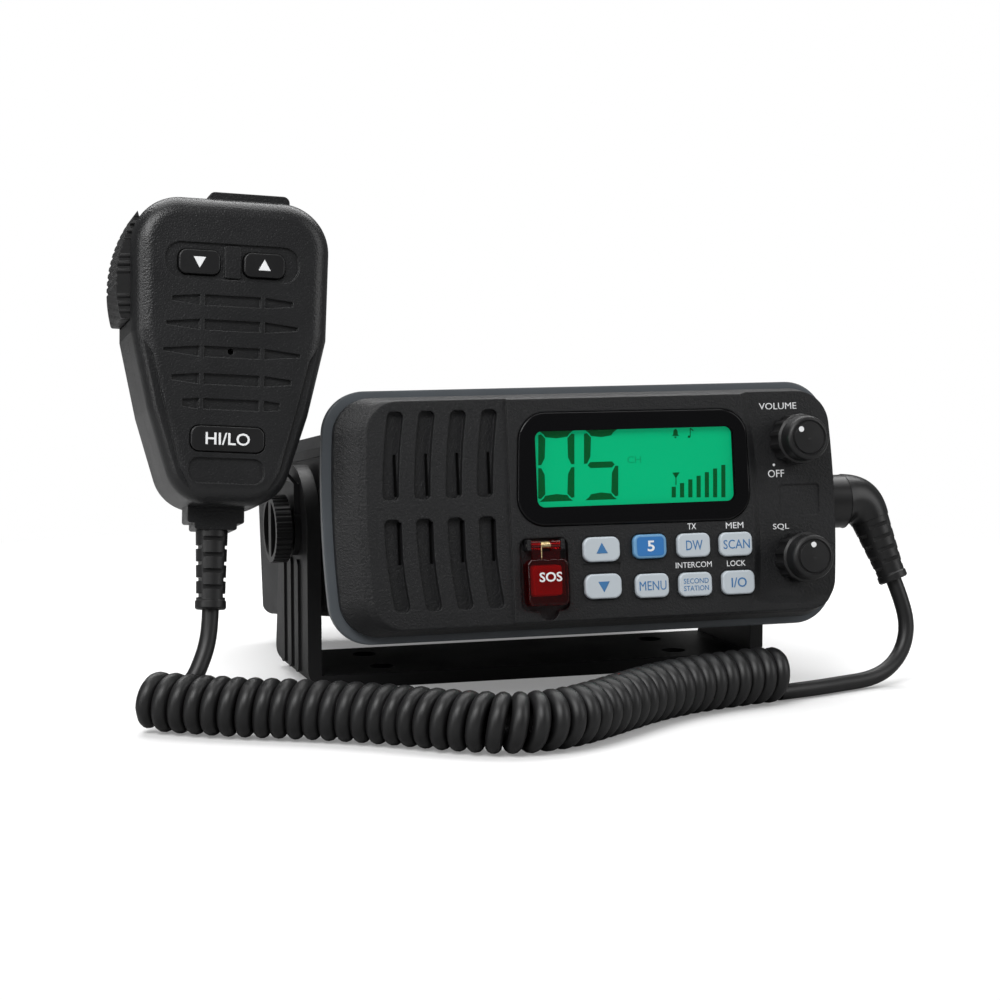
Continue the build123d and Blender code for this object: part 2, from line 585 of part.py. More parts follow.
BOARD_Z = -21.0
BOARD_FRONT = 18.0
BOARD_REAR = CAVITY_REAR - 6.0
BOARD_WIDTH = 2 * (CHASSIS_HALF - CHASSIS_WALL) - 21.0
with BuildPart() as main_board:
    with BuildSketch(Plane.XY.offset(BOARD_Z)):
        with Locations((0, (BOARD_FRONT + BOARD_REAR) / 2)):
            RectangleRounded(BOARD_WIDTH, BOARD_REAR - BOARD_FRONT, 2)
    extrude(amount=1.6)
    with BuildSketch(Plane.XY.offset(BOARD_Z + 1.6)):
        with Locations((-40, 40), (-40, 66), (-40, 92), (-14, 40)):
            Rectangle(14, 14)
    extrude(amount=2.2)
    with BuildSketch(Plane.XY.offset(BOARD_Z + 1.6)):
        with Locations((-18, 66), (-18, 84), (-18, 100)):
            Circle(4.5)
    extrude(amount=11)
write("main_board", main_board, TILT_FRAME)

with BuildPart() as rf_shield:
    with BuildSketch(Plane.XY.offset(BOARD_Z + 1.65)):
        with Locations((24, 66)):
            RectangleRounded(58, 84, 1.5)
    extrude(amount=13)
    with BuildSketch(Plane.XY.offset(BOARD_Z + 1.65)):
        with Locations((24, 45), (24, 86)):
            Rectangle(55, 38)
    extrude(amount=12.4, mode=Mode.SUBTRACT)
write("rf_shield", rf_shield, TILT_FRAME)

# ---------------------------------------------------------------- volume and squelch
SKIRT = 8.0
CAP = 7.2
KNOB_BASE = -FACE_DEPTH + KNOB_STEP - 0.4
KNOB_TIP = -21.2
SKIRT_TOP = -14.4
SCALLOPS = 12

for name, knob_z in (("volume", VOLUME_Z), ("squelch", SQUELCH_Z)):
    spin = Axis((KNOB_X, 0, knob_z), (0, 1, 0))
    flat = Plane(origin=(KNOB_X, 0, knob_z))
    with BuildPart() as control_knob:
        with BuildSketch(flat):
            with BuildLine():
                Polyline(
                    (0, KNOB_BASE), (SKIRT, KNOB_BASE), (SKIRT, SKIRT_TOP), (CAP, SKIRT_TOP - 0.6),
                    (CAP - 0.1, KNOB_TIP + 1.6),
                )
                dome = ThreePointArc(
                    (CAP - 0.1, KNOB_TIP + 1.6), (CAP - 0.6, KNOB_TIP + 0.7), (CAP - 1.5, KNOB_TIP + 0.3)
                )
                Polyline(
                    dome @ 1, (CAP - 1.7, KNOB_TIP + 0.7), (CAP - 2.1, KNOB_TIP + 0.7),
                    (CAP - 2.3, KNOB_TIP + 0.2), (0, KNOB_TIP), (0, KNOB_BASE),
                )
            make_face()
        revolve(axis=spin)
        with BuildSketch(facing_at(KNOB_X, KNOB_BASE, knob_z)):
            with PolarLocations(SKIRT + 1.1, SCALLOPS):
                Circle(1.9)
        extrude(amount=KNOB_BASE - SKIRT_TOP, mode=Mode.SUBTRACT)
        with BuildSketch(facing_at(KNOB_X, KNOB_BASE, knob_z)):
            Circle(SHAFT + 0.02)
        extrude(amount=10.5, mode=Mode.SUBTRACT)
    write(f"{name}_knob", control_knob, TILT_FRAME)
    with BuildPart() as control_shaft:
        with BuildSketch(facing_at(KNOB_X, -1.4, knob_z)):
            Circle(SHAFT)
        extrude(amount=15.6)
    write(f"{name}_shaft", control_shaft, TILT_FRAME)
    with BuildPart() as control_pot:
        with BuildSketch(facing_at(KNOB_X, -0.3, knob_z)):
            RectangleRounded(11.6, 11.6, 2)
        extrude(amount=4.4)
        with BuildSketch(facing_at(KNOB_X, -4.7, knob_z)):
            Circle(BUSHING)
        extrude(amount=2.2)
        with BuildSketch(facing_at(KNOB_X, -1.2, knob_z)):
            Circle(SHAFT + 0.05)
        extrude(amount=6, mode=Mode.SUBTRACT)
    write(f"{name}_pot", control_pot, TILT_FRAME)

# ---------------------------------------------------------------- keypad
FLANGE_FRONT = -FACE_INSIDE + 0.1
FLANGE_THICK = 0.7
FLANGE_LIP = 0.8
KEY_FRONT = -FACE_DEPTH - 1.5

for name, (key_x, key_z, (key_w, key_h, key_r)) in KEY_SPOTS.items():
    with BuildPart() as key:
        with BuildSketch(facing_at(key_x, FLANGE_FRONT, key_z)):
            RectangleRounded(key_w, key_h, key_r)
        extrude(amount=FLANGE_FRONT - KEY_FRONT)
        fillet(faces().sort_by(Axis.Y)[0].edges(), 0.6)
        with BuildSketch(facing_at(key_x, FLANGE_FRONT, key_z)):
            RectangleRounded(key_w + 2 * FLANGE_LIP, key_h + 2 * FLANGE_LIP, key_r + FLANGE_LIP)
        extrude(amount=-FLANGE_THICK)
    write(name, key, TILT_FRAME)

with BuildPart() as keypad_mat:
    with BuildSketch(facing(-2.3)):
        panel_of(-21.0, 55.0, -30.0, -7.4, 1.5)
    extrude(amount=0.5)
    with BuildSketch(facing(-2.8)):
        with Locations(*[(key_x, key_z) for key_x, key_z, size in KEY_SPOTS.values()], (-16.0, -21.7)):
            Circle(2.6)
    extrude(amount=0.35)
write("keypad_mat", keypad_mat, TILT_FRAME)

# ---------------------------------------------------------------- distress key under its flip cover
COVER = (-23.2, -9.9, -29.6, -15.0)
COVER_BACK = -6.7
COVER_FRONT = -11.9
COVER_WALL = 1.0
BARREL = 1.5
NECK = (-21.3, -12.1)
SPRING_GAP = (-18.4, -15.0)

with BuildPart() as sos_key:
    with BuildSketch(facing(FLANGE_FRONT)):
        panel_of(*SOS_KEY, 1.0)
    extrude(amount=4.4)
    fillet(faces().sort_by(Axis.Y)[0].edges(), 0.5)
    with BuildSketch(facing(FLANGE_FRONT)):
        panel_of(SOS_KEY[0] - 0.8, SOS_KEY[1] + 0.8, SOS_KEY[2] - 0.8, SOS_KEY[3] + 0.8, 1.4)
    extrude(amount=-FLANGE_THICK)
write("sos_key", sos_key, TILT_FRAME)

with BuildPart() as sos_cover:
    with BuildSketch(facing(COVER_BACK)):
        panel_of(*COVER, 1.8)
    extrude(amount=COVER_BACK - COVER_FRONT)
    fillet(faces().sort_by(Axis.Y)[0].edges(), 0.8)
    with BuildSketch(facing(COVER_BACK)):
        panel_of(
            COVER[0] + COVER_WALL, COVER[1] - COVER_WALL, COVER[2] + COVER_WALL, COVER[3] - COVER_WALL, 0.9
        )
    extrude(amount=COVER_BACK - COVER_FRONT - COVER_WALL, mode=Mode.SUBTRACT)
    with BuildSketch(facing(COVER_BACK + 0.1)):
        panel_of(COVER[0] - 0.1, COVER[1] + 0.1, -16.3, -14.9, 0.2)
    extrude(amount=1.7, mode=Mode.SUBTRACT)
    with BuildSketch(facing(-9.3)):
        panel_of(*NECK, -15.4, -10.4, 0.3)
    extrude(amount=1.4)
    with BuildSketch(sideways_at(NECK[0], *SOS_HINGE)):
        Circle(BARREL)
    extrude(amount=NECK[1] - NECK[0])
    with BuildSketch(sideways_at(NECK[0] - 1, *SOS_HINGE)):
        Circle(PIN + 0.04)
    extrude(amount=12, mode=Mode.SUBTRACT)
    with BuildSketch(facing(-7)):
        panel_of(*SPRING_GAP, -12.6, -8.4, 0.2)
    extrude(amount=6, mode=Mode.SUBTRACT)
write("sos_cover", sos_cover, TILT_FRAME)

with BuildPart() as sos_spring:
    with BuildSketch(sideways_at(SPRING_GAP[0] + 0.1, *SOS_HINGE)):
        Circle(1.35)
        Circle(PIN + 0.05, mode=Mode.SUBTRACT)
    extrude(amount=SPRING_GAP[1] - SPRING_GAP[0] - 0.2)
    with BuildSketch(facing(-10.72)):
        panel_of(-18.1, -17.5, -14.9, -10.6, 0.2)
    extrude(amount=0.5)
write("sos_spring", sos_spring, TILT_FRAME)

with BuildPart() as sos_pin:
    with BuildSketch(sideways_at(-22.8, *SOS_HINGE)):
        Circle(PIN)
    extrude(amount=12.2)
write("sos_pin", sos_pin, TILT_FRAME)

# ---------------------------------------------------------------- rear sockets
AERIAL_FLANGE = 12.5
AERIAL_THREAD = 7.9
AERIAL_CONTACT = 1.9
AERIAL_INSIDE = 6.6
AERIAL_SEAT = 0.05           # gap around the contact's flange
INLET_FLANGE = 10.5
INLET_BORE = 5.4


def turned(x, start, z, outline):
    """Revolve an outline of (radius, distance behind the start) pairs about a depth axis."""
    with BuildSketch(Plane(origin=(x, start, z))) as profile:
        with BuildLine() as wire:
            Polyline(*outline, outline[0])
        make_face(wire.edges())
    revolve(profile.sketch, axis=Axis((x, start, z), (0, 1, 0)))


with BuildPart() as antenna_socket:
    turned(AERIAL_X, CHASSIS_REAR, REAR_Z, (
        (0, 0), (AERIAL_FLANGE, 0), (AERIAL_FLANGE, 2), (AERIAL_THREAD, 2), (AERIAL_THREAD, 16),
        (AERIAL_INSIDE, 16), (AERIAL_INSIDE, 5), (0, 5),
    ))
write("antenna_socket", antenna_socket, TILT_FRAME)

with BuildPart() as antenna_contact:
    turned(AERIAL_X, CHASSIS_REAR, REAR_Z, (
        (AERIAL_CONTACT, 5), (AERIAL_INSIDE - AERIAL_SEAT, 5), (AERIAL_INSIDE - AERIAL_SEAT, 6),
        (4.2, 6), (4.2, 14.5), (AERIAL_CONTACT, 14.5),
    ))
write("antenna_contact", antenna_contact, TILT_FRAME)

with BuildPart() as power_inlet:
    turned(INLET_X, CHASSIS_REAR, REAR_Z, (
        (0, 0), (INLET_FLANGE, 0), (INLET_FLANGE, 2.2), (7.4, 2.2), (7.0, 11),
        (INLET_BORE, 11), (INLET_BORE, 4), (0, 4),
    ))
write("power_inlet", power_inlet, TILT_FRAME)

# ---------------------------------------------------------------- microphone socket, plug and boot
RING_START = CHASSIS_HALF + 1.8
RING_END = RING_START + 9.3
PLUG_START = RING_START + 6.0
PLUG_BODY = 8.8
ELBOW_START = PLUG_START + 13.3    # the plug turns down from here
ELBOW_MIDDLE = Vector(ELBOW_START + 6.7, SOCKET_DEPTH - 0.1, -1.3)
ELBOW_RADIUS = 7.7
BOOT_START = Vector(ELBOW_START + 9.6, SOCKET_DEPTH - 0.8, -6.6)
BOOT_AXIS = Vector(0.30, -0.12, -0.95).normalized()
BOOT_LENGTH = 21.5
BOOT_TOP = 6.3
BOOT_TIP = 4.6
BOOT_SLOTS = 4
BOOT_PITCH = 4.0
RELIEF_BEAD = 0.35           # bead at the thin end of a strain relief
RELIEF_DEPTH = 1.2
RELIEF_FIRST = 2.6
RELIEF_SLOT = (8.0, 1.3)     # width and height of a slot


def about_x(outline, depth, z):
    """Revolve an outline of (x, radius) pairs about the X direction at depth, z."""
    with BuildSketch(Plane(origin=(0, depth, z), x_dir=(1, 0, 0), z_dir=(0, -1, 0))) as profile:
        with BuildLine() as wire:
            Polyline(*outline, outline[0])
        make_face(wire.edges())
    revolve(profile.sketch, axis=Axis((0, depth, z), (1, 0, 0)))


def strain_relief(start, along, side, top, tip, length, rows, pitch):
    """Tapered strain relief: slots in rows on opposite sides, half a pitch apart from the other two."""
    across = side.cross(along)
    bead = length * 0.88
    with BuildSketch(Plane(origin=start, x_dir=side, z_dir=across)) as profile:
        with BuildLine() as wire:
            Polyline(
                (0, 0), (top, 0), (tip, bead), (tip + RELIEF_BEAD, bead + 0.4),
                (tip + RELIEF_BEAD, length - 0.5), (tip - 0.1, length), (0, length), (0, 0),
            )
        make_face(wire.edges())
    revolve(profile.sketch, axis=Axis(start, along))
    planes = []
    for row in range(rows):
        for turn, outward in enumerate((across, side, -across, -side)):
            at = RELIEF_FIRST + (row + turn % 2 / 2) * pitch
            floor = top + (tip - top) * at / bead - RELIEF_DEPTH
            spot = start + along * at + outward * floor
            planes.append(Plane(origin=spot, x_dir=along.cross(outward), z_dir=outward))
    with BuildSketch(*planes) as slots:
        SlotOverall(*RELIEF_SLOT)
    extrude(slots.sketch, amount=2 * RELIEF_DEPTH, mode=Mode.SUBTRACT)


with BuildPart() as mic_socket:
    about_x(
        (
            (CHASSIS_HALF - 11.5, 0), (CHASSIS_HALF - 11.5, 5.6), (CHASSIS_HALF - 3.3, 5.6),
            (CHASSIS_HALF - 3.3, 6.9), (CHASSIS_HALF + 0.1, 6.9), (CHASSIS_HALF + 0.1, 9.4),
            (CHASSIS_HALF + 1.7, 9.4), (CHASSIS_HALF + 1.7, 6.9), (CHASSIS_HALF + 7.5, 6.9),
            (CHASSIS_HALF + 7.5, 5.8), (CHASSIS_HALF + 3.5, 5.8), (CHASSIS_HALF + 3.5, 0),
        ),
        SOCKET_DEPTH, 0,
    )
write("mic_socket", mic_socket, TILT_FRAME)

with BuildPart() as plug_ring:
    with BuildSketch(sideways_at(RING_START, SOCKET_DEPTH, 0)):
        Circle(9.3)
        with PolarLocations(9.6, 24):
            Circle(0.75, mode=Mode.SUBTRACT)
        Circle(7.1, mode=Mode.SUBTRACT)
    extrude(amount=RING_END - RING_START)
write("plug_ring", plug_ring, TILT_FRAME)

with BuildPart() as plug_body:
    about_x(
        (
            (PLUG_START, 0), (PLUG_START, 7.0), (RING_END + 0.2, 7.0), (RING_END + 0.2, PLUG_BODY - 0.6),
            (RING_END + 0.8, PLUG_BODY), (ELBOW_START, PLUG_BODY), (ELBOW_START, 0),
        ),
        SOCKET_DEPTH, 0,
    )
    with BuildSketch(sideways_at(ELBOW_START, SOCKET_DEPTH, 0)):
        Circle(PLUG_BODY + 0.2)
    with BuildSketch(Plane(origin=ELBOW_MIDDLE, x_dir=(0, 1, 0), z_dir=BOOT_AXIS + Vector(1, 0, 0))):
        Circle(ELBOW_RADIUS)
    with BuildSketch(Plane(origin=BOOT_START, x_dir=(0, 1, 0), z_dir=BOOT_AXIS)):
        Circle(BOOT_TOP + 0.2)
    loft()
write("plug_body", plug_body, TILT_FRAME)

with BuildPart() as plug_boot:
    strain_relief(
        BOOT_START, BOOT_AXIS, BOOT_AXIS.cross(Vector(0, 1, 0)).normalized(),
        BOOT_TOP, BOOT_TIP, BOOT_LENGTH, BOOT_SLOTS, BOOT_PITCH,
    )
write("plug_boot", plug_boot, TILT_FRAME)

# ---------------------------------------------------------------- hand microphone
MIC_SIDE = ((30.7, 46.0), (29.8, 4.0), (24.5, -19.3), (15.7, -47.2))
MIC_TOP_CORNER = 15.0
MIC_LOW_CORNER = 13.0
PTT_POCKET = (-40.0, -24.3, 7.9, 44.2)
PTT_SPAN = (-9.0, 12.0)
PTT_PIVOT = (-28.0, 9.6)
MIC_KEYS = {
    "mic_key_down": (-10.4, 25.4, 12.6, 7.4, 2.4),
    "mic_key_up": (9.4, 25.4, 12.6, 7.4, 2.4),
    "mic_key_power": (-1.0, -27.9, 22.4, 7.6, 2.6),
}
MIC_KEY_FRONT = MIC_FRONT - 0.6
MIC_INSIDE = MIC_FRONT + 3.0
MIC_POSTS = ((-18.0, 33.5), (19.5, 33.0), (-18.6, -13.0), (18.6, -13.0))
MIC_SCREW = 1.2
VOICE_HOLE = (-0.3, -1.2)
GROOVE_ROWS = ((14.0, 18.4), (6.5, 20.0), (-1.6, 20.8), (-9.9, 18.2), (-17.4, 14.8))
GROOVE_HEIGHT = 3.2
GROOVE_RIB = 1.4
GROOVE_RIB_X = 9.9
COLLAR = (-10.2, 7.2, -51.8)
STEP = (-8.0, 5.0, -53.8)
MIC_BOOT_X = -1.8
MIC_BOOT_Y = 3.0
MIC_BOOT_LENGTH = 24.0
MIC_BOOT_TOP = 4.9
MIC_BOOT_TIP = 4.4
MIC_BOOT_SLOTS = 4
MIC_BOOT_PITCH = 4.9
MIC_BOOT_FROM = Vector(MIC_BOOT_X, MIC_BOOT_Y, STEP[2])


def mic_outline(inset=0.0):
    """Front view of the microphone's body, drawn inwards by a wall."""
    left_side = [(-x, z) for x, z in reversed(MIC_SIDE)]
    with BuildLine() as outline:
        Polyline(*MIC_SIDE, *left_side, close=True)
    make_face(outline.edges())
    fillet(vertices().sort_by(Axis.Y)[-2:], MIC_TOP_CORNER)
    fillet(vertices().sort_by(Axis.Y)[:2], MIC_LOW_CORNER)
    if inset:
        offset(amount=-inset)


def mic_pocket_guard():
    """Keep the inside clear of the push-to-talk pocket's wall."""
    left, right, low, high = PTT_POCKET
    with Locations(((left + right + 2) / 2, (low + high) / 2 + 1)):
        Rectangle(right + 2 - left, high - low + 6, mode=Mode.SUBTRACT)


with BuildPart() as mic_front_shell:
    with BuildSketch(facing(MIC_SPLIT)):
        mic_outline()
    extrude(amount=MIC_SPLIT - MIC_FRONT)
    fillet(faces().sort_by(Axis.Y)[0].edges(), 6.0)
    with BuildSketch(facing(MIC_SPLIT)):
        panel_of(-7.0, 18.0, 40.0, 48.2, 2)
    extrude(amount=9)
    for side in (-1, 1):
        with BuildSketch(facing(MIC_FRONT)):
            with BuildLine():
                Polyline(
                    (side * 32, 1.0), (side * 26.4, 1.0), (side * 23.8, -3.0), (side * 15.0, -37.0),
                    (side * 9.0, -48.0), (side * 32, -48.0), (side * 32, 1.0),
                )
            make_face()
        extrude(amount=-1.2, mode=Mode.SUBTRACT)
    with BuildSketch(facing(MIC_FRONT)):
        panel_of(-20.8, 20.2, 20.4, 31.4, 5)
        panel_of(-12.6, 10.2, -41.2, -33.6, 3)
    extrude(amount=-0.8, mode=Mode.SUBTRACT)
    with BuildSketch(facing(MIC_FRONT + 0.8)):
        panel_of(-2.6, 2.2, 21.0, 30.8, 0.5)
    extrude(amount=0.7)
    with BuildSketch(facing(MIC_FRONT)):
        for row_z, row_half in GROOVE_ROWS:
            with Locations((0, row_z)):
                Rectangle(2 * (GROOVE_RIB_X - GROOVE_RIB), GROOVE_HEIGHT)
            for side in (-1, 1):
                with Locations((side * (GROOVE_RIB_X + row_half) / 2, row_z)):
                    Trapezoid(
                        GROOVE_HEIGHT, row_half - GROOVE_RIB_X, 84, 84,
                        rotation=-90 * side,
                    )
    extrude(amount=-1.0, mode=Mode.SUBTRACT)
    with BuildSketch(facing(MIC_SPLIT)):
        mic_outline(MIC_WALL)
        mic_pocket_guard()
    extrude(amount=MIC_SPLIT - MIC_INSIDE, mode=Mode.SUBTRACT)
    with BuildSketch(facing(MIC_SPLIT)):
        with Locations(*MIC_POSTS):
            Circle(3)
    extrude(amount=MIC_SPLIT - MIC_INSIDE + 0.5)
    with BuildSketch(facing(MIC_SPLIT)):
        with Locations(*MIC_POSTS):
            Circle(MIC_SCREW + 0.05)
    extrude(amount=8, mode=Mode.SUBTRACT)
    with BuildSketch(facing(MIC_FRONT)):
        for key_x, key_z, key_w, key_h, key_r in MIC_KEYS.values():
            with Locations((key_x, key_z)):
                RectangleRounded(key_w + 2 * FIT, key_h + 2 * FIT, key_r + FIT)
        with Locations(VOICE_HOLE):
            Circle(0.9)
    extrude(amount=-4, mode=Mode.SUBTRACT)
    with BuildSketch(facing(MIC_SPLIT + 1)):
        panel_of(*PTT_POCKET, 2)
    extrude(amount=MIC_SPLIT + 1 - PTT_SPAN[0], mode=Mode.SUBTRACT)
write("mic_front_shell", mic_front_shell, MIC_FRAME)

with BuildPart() as mic_rear_shell:
    with BuildSketch(facing(MIC_BACK)):
        mic_outline()
    extrude(amount=MIC_BACK - MIC_SPLIT)
    fillet(faces().sort_by(Axis.Y)[-1].edges(), 5.0)
    with BuildSketch(facing(9)):
        panel_of(-7.0, 18.0, 40.0, 48.2, 2)
    extrude(amount=9 - MIC_SPLIT)
    with BuildSketch(facing(8)):
        panel_of(COLLAR[0], COLLAR[1], COLLAR[2], -44, 0.8)
        panel_of(STEP[0], STEP[1], STEP[2], -50, 0.8)
    extrude(amount=8 - MIC_SPLIT)
    with BuildSketch(facing(MIC_SPLIT)):
        mic_outline(MIC_WALL)
        mic_pocket_guard()
    extrude(amount=MIC_SPLIT - MIC_BACK + 3, mode=Mode.SUBTRACT)
    with BuildSketch(facing(MIC_SPLIT)):
        with Locations(*MIC_POSTS):
            Circle(3)
    extrude(amount=MIC_SPLIT - MIC_BACK + 2)
    with BuildSketch(facing(MIC_SPLIT)):
        with Locations(*MIC_POSTS):
            Circle(MIC_SCREW + 0.05)
    extrude(amount=-25, mode=Mode.SUBTRACT)
    with BuildSketch(facing(MIC_BACK)):
        with Locations(*MIC_POSTS):
            Circle(2.5)
    extrude(amount=2.4, mode=Mode.SUBTRACT)
    with BuildSketch(facing(PTT_SPAN[1])):
        panel_of(*PTT_POCKET, 2)
    extrude(amount=PTT_SPAN[1] - MIC_SPLIT + 1, mode=Mode.SUBTRACT)
write("mic_rear_shell", mic_rear_shell, MIC_FRAME)

with BuildPart() as mic_ptt:
    with BuildSketch(facing(PTT_SPAN[1] - 0.4)):
        with BuildLine() as lever:
            outer = ThreePointArc((-28.2, 41.4), (-33.9, 25.0), (-32.6, 8.4))
            Polyline(outer @ 1, (-27.3, 8.4), (-26.6, 36.5), outer @ 0)
        make_face()
        fillet(vertices().sort_by(Axis.Y)[:2], 0.8)
        with Locations(*[(outer @ (0.03 + 0.066 * rib) + Vector(-0.25, 0)) for rib in range(11)]):
            Circle(0.65, mode=Mode.SUBTRACT)
    extrude(amount=PTT_SPAN[1] - PTT_SPAN[0] - 0.8)
write("mic_ptt", mic_ptt, MIC_FRAME)

for name, (key_x, key_z, key_w, key_h, key_r) in MIC_KEYS.items():
    with BuildPart() as mic_key:
        with BuildSketch(facing_at(key_x, MIC_INSIDE + 0.1, key_z)):
            RectangleRounded(key_w, key_h, key_r)
        extrude(amount=MIC_INSIDE + 0.1 - MIC_KEY_FRONT)
        fillet(faces().sort_by(Axis.Y)[0].edges(), 0.5)
        with BuildSketch(facing_at(key_x, MIC_INSIDE + 0.1, key_z)):
            RectangleRounded(key_w + 1.4, key_h + 1.4, key_r + 0.7)
        extrude(amount=-0.7)
    write(name, mic_key, MIC_FRAME)

with BuildPart() as mic_board:
    with BuildSketch(facing(-8.0)):
        panel_of(-13.6, 13.6, -38.0, 38.5, 1.5)
    extrude(amount=-1.5)
    with BuildSketch(facing(-6.5)):
        with Locations((0, 18), (2, 2)):
            Rectangle(9, 7)
    extrude(amount=-1.4)
write("mic_board", mic_board, MIC_FRAME)

with BuildPart() as mic_capsule:
    with BuildSketch(facing_at(VOICE_HOLE[0], -8.05, VOICE_HOLE[1])):
        Circle(4.8)
    extrude(amount=4.7)
write("mic_capsule", mic_capsule, MIC_FRAME)

with BuildPart() as mic_screws:
    with BuildSketch(facing(MIC_BACK - 2.35)):
        with Locations(*MIC_POSTS):
            Circle(2.3)
    extrude(amount=-1.6)
    with BuildSketch(facing(MIC_BACK - 2.35)):
        with Locations(*MIC_POSTS):
            Circle(MIC_SCREW)
    extrude(amount=23)
write("mic_screws", mic_screws, MIC_FRAME)

with BuildPart() as mic_hang_stud:
    with BuildSketch(facing_at(0, MIC_BACK, STUD_Z)):
        Circle(3.5)
    extrude(amount=-(HANG_PLATE + STRIP + 0.4 - MIC_BACK))
    with BuildSketch(facing_at(0, HANG_PLATE + STRIP + 0.4, STUD_Z)):
        Circle(6.4)
    extrude(amount=-2.4)
    fillet(edges().filter_by(GeomType.CIRCLE).sort_by(Axis.Y)[-1], 0.8)
write("mic_hang_stud", mic_hang_stud, MIC_FRAME)

with BuildPart() as mic_boot:
    strain_relief(
        MIC_BOOT_FROM, Vector(0, 0, -1), Vector(1, 0, 0),
        MIC_BOOT_TOP, MIC_BOOT_TIP, MIC_BOOT_LENGTH, MIC_BOOT_SLOTS, MIC_BOOT_PITCH,
    )
write("mic_boot", mic_boot, MIC_FRAME)

# ---------------------------------------------------------------- cord
# The curly stretch lies on the ground in front of the bracket; its turns are one closed solid.
COIL_ROUTE = (
    (-139.5, -72.5), (-122, -87), (-99, -98), (-77, -112), (-60, -128), (-45, -137.5),
    (-28, -134.5), (-10, -121), (9, -105), (32, -92.5), (60, -85.5),
)
# Plain leads: from the plug's boot down to the ground and into the coil's right end,
# and from the microphone's boot down into the back of its left end.
PLUG_LEAD = (
    (114.2, -66.3, 18.1), (111.5, -68.2, 10.5), (105.5, -70.3, 5.0), (97.2, -73.0, 2.75),
    (86.5, -76.9, 2.75), (72.6, -82.35, 2.75), (60.0, -85.5, 2.75),
)
MIC_LEAD = ((-124.6, -74.0, 19.5), (-128.4, -77.5, 13.2))


def corner_radii(points, share=0.45):
    """Radius of each corner: a share of the shorter run over the tangent of half the turn."""
    spots = [Vector(*p) for p in points]
    radii = []
    for before, at, after in zip(spots, spots[1:], spots[2:]):
        turn = math.radians((at - before).get_angle(after - at))
        run = min((at - before).length, (after - at).length)
        radii.append(share * run / math.tan(turn / 2))
    return radii


def cord_tube(name, points, radius):
    """Sweep a round section along straight runs joined by tangent arcs."""
    radii = corner_radii(points)
    with BuildPart() as tube:
        with BuildLine() as path:
            FilletPolyline(*points, radius=radii)
        route = path.wires()[0]
        with BuildSketch(Plane(origin=route @ 0, z_dir=route % 0)) as section:
            Circle(radius)
        sweep(section.sketch, path=route)
    expected = math.pi * radius ** 2 * route.length
    rounded = [round(value, 1) for value in radii]
    print(f"{name}: length {route.length:.1f}, radii {rounded}, volume {tube.part.volume / expected:.4f}")
    write(name, tube)


def in_frame(frame, spot):
    """A point of one of the leaned frames, in the shared frame."""
    return (frame * Location(tuple(spot))).position


plug_exit = in_frame(TILT_FRAME, BOOT_START + BOOT_AXIS * BOOT_LENGTH)
plug_next = in_frame(TILT_FRAME, BOOT_START + BOOT_AXIS * (BOOT_LENGTH + 8.0))
mic_exit = in_frame(MIC_FRAME, MIC_BOOT_FROM - Vector(0, 0, MIC_BOOT_LENGTH))
mic_next = in_frame(MIC_FRAME, MIC_BOOT_FROM - Vector(0, 0, MIC_BOOT_LENGTH + 8.6))
print("plug exit", plug_exit, "microphone exit", mic_exit)

cord_tube("cord_coil", [(x, y, COIL) for x, y in COIL_ROUTE], COIL)
cord_tube("cord_plug_lead", [tuple(plug_exit), tuple(plug_next), *PLUG_LEAD], CORD)
cord_tube("cord_mic_lead", [tuple(mic_exit), tuple(mic_next), *MIC_LEAD], CORD)
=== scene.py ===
"""Dresses the fixed-mount marine radio: finishes, printing, display, cords, camera and light.

Everything is in metres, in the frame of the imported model: origin under the middle of the
bracket, +X to the right seen from the front, +Y to the back, +Z up. The leaned sub-assemblies
are drawn in millimetres in their own frames (x to the right, depth to the back, z up).
"""
import json
import logging
import math
from dataclasses import dataclass
from enum import Enum
from typing import Callable, Sequence

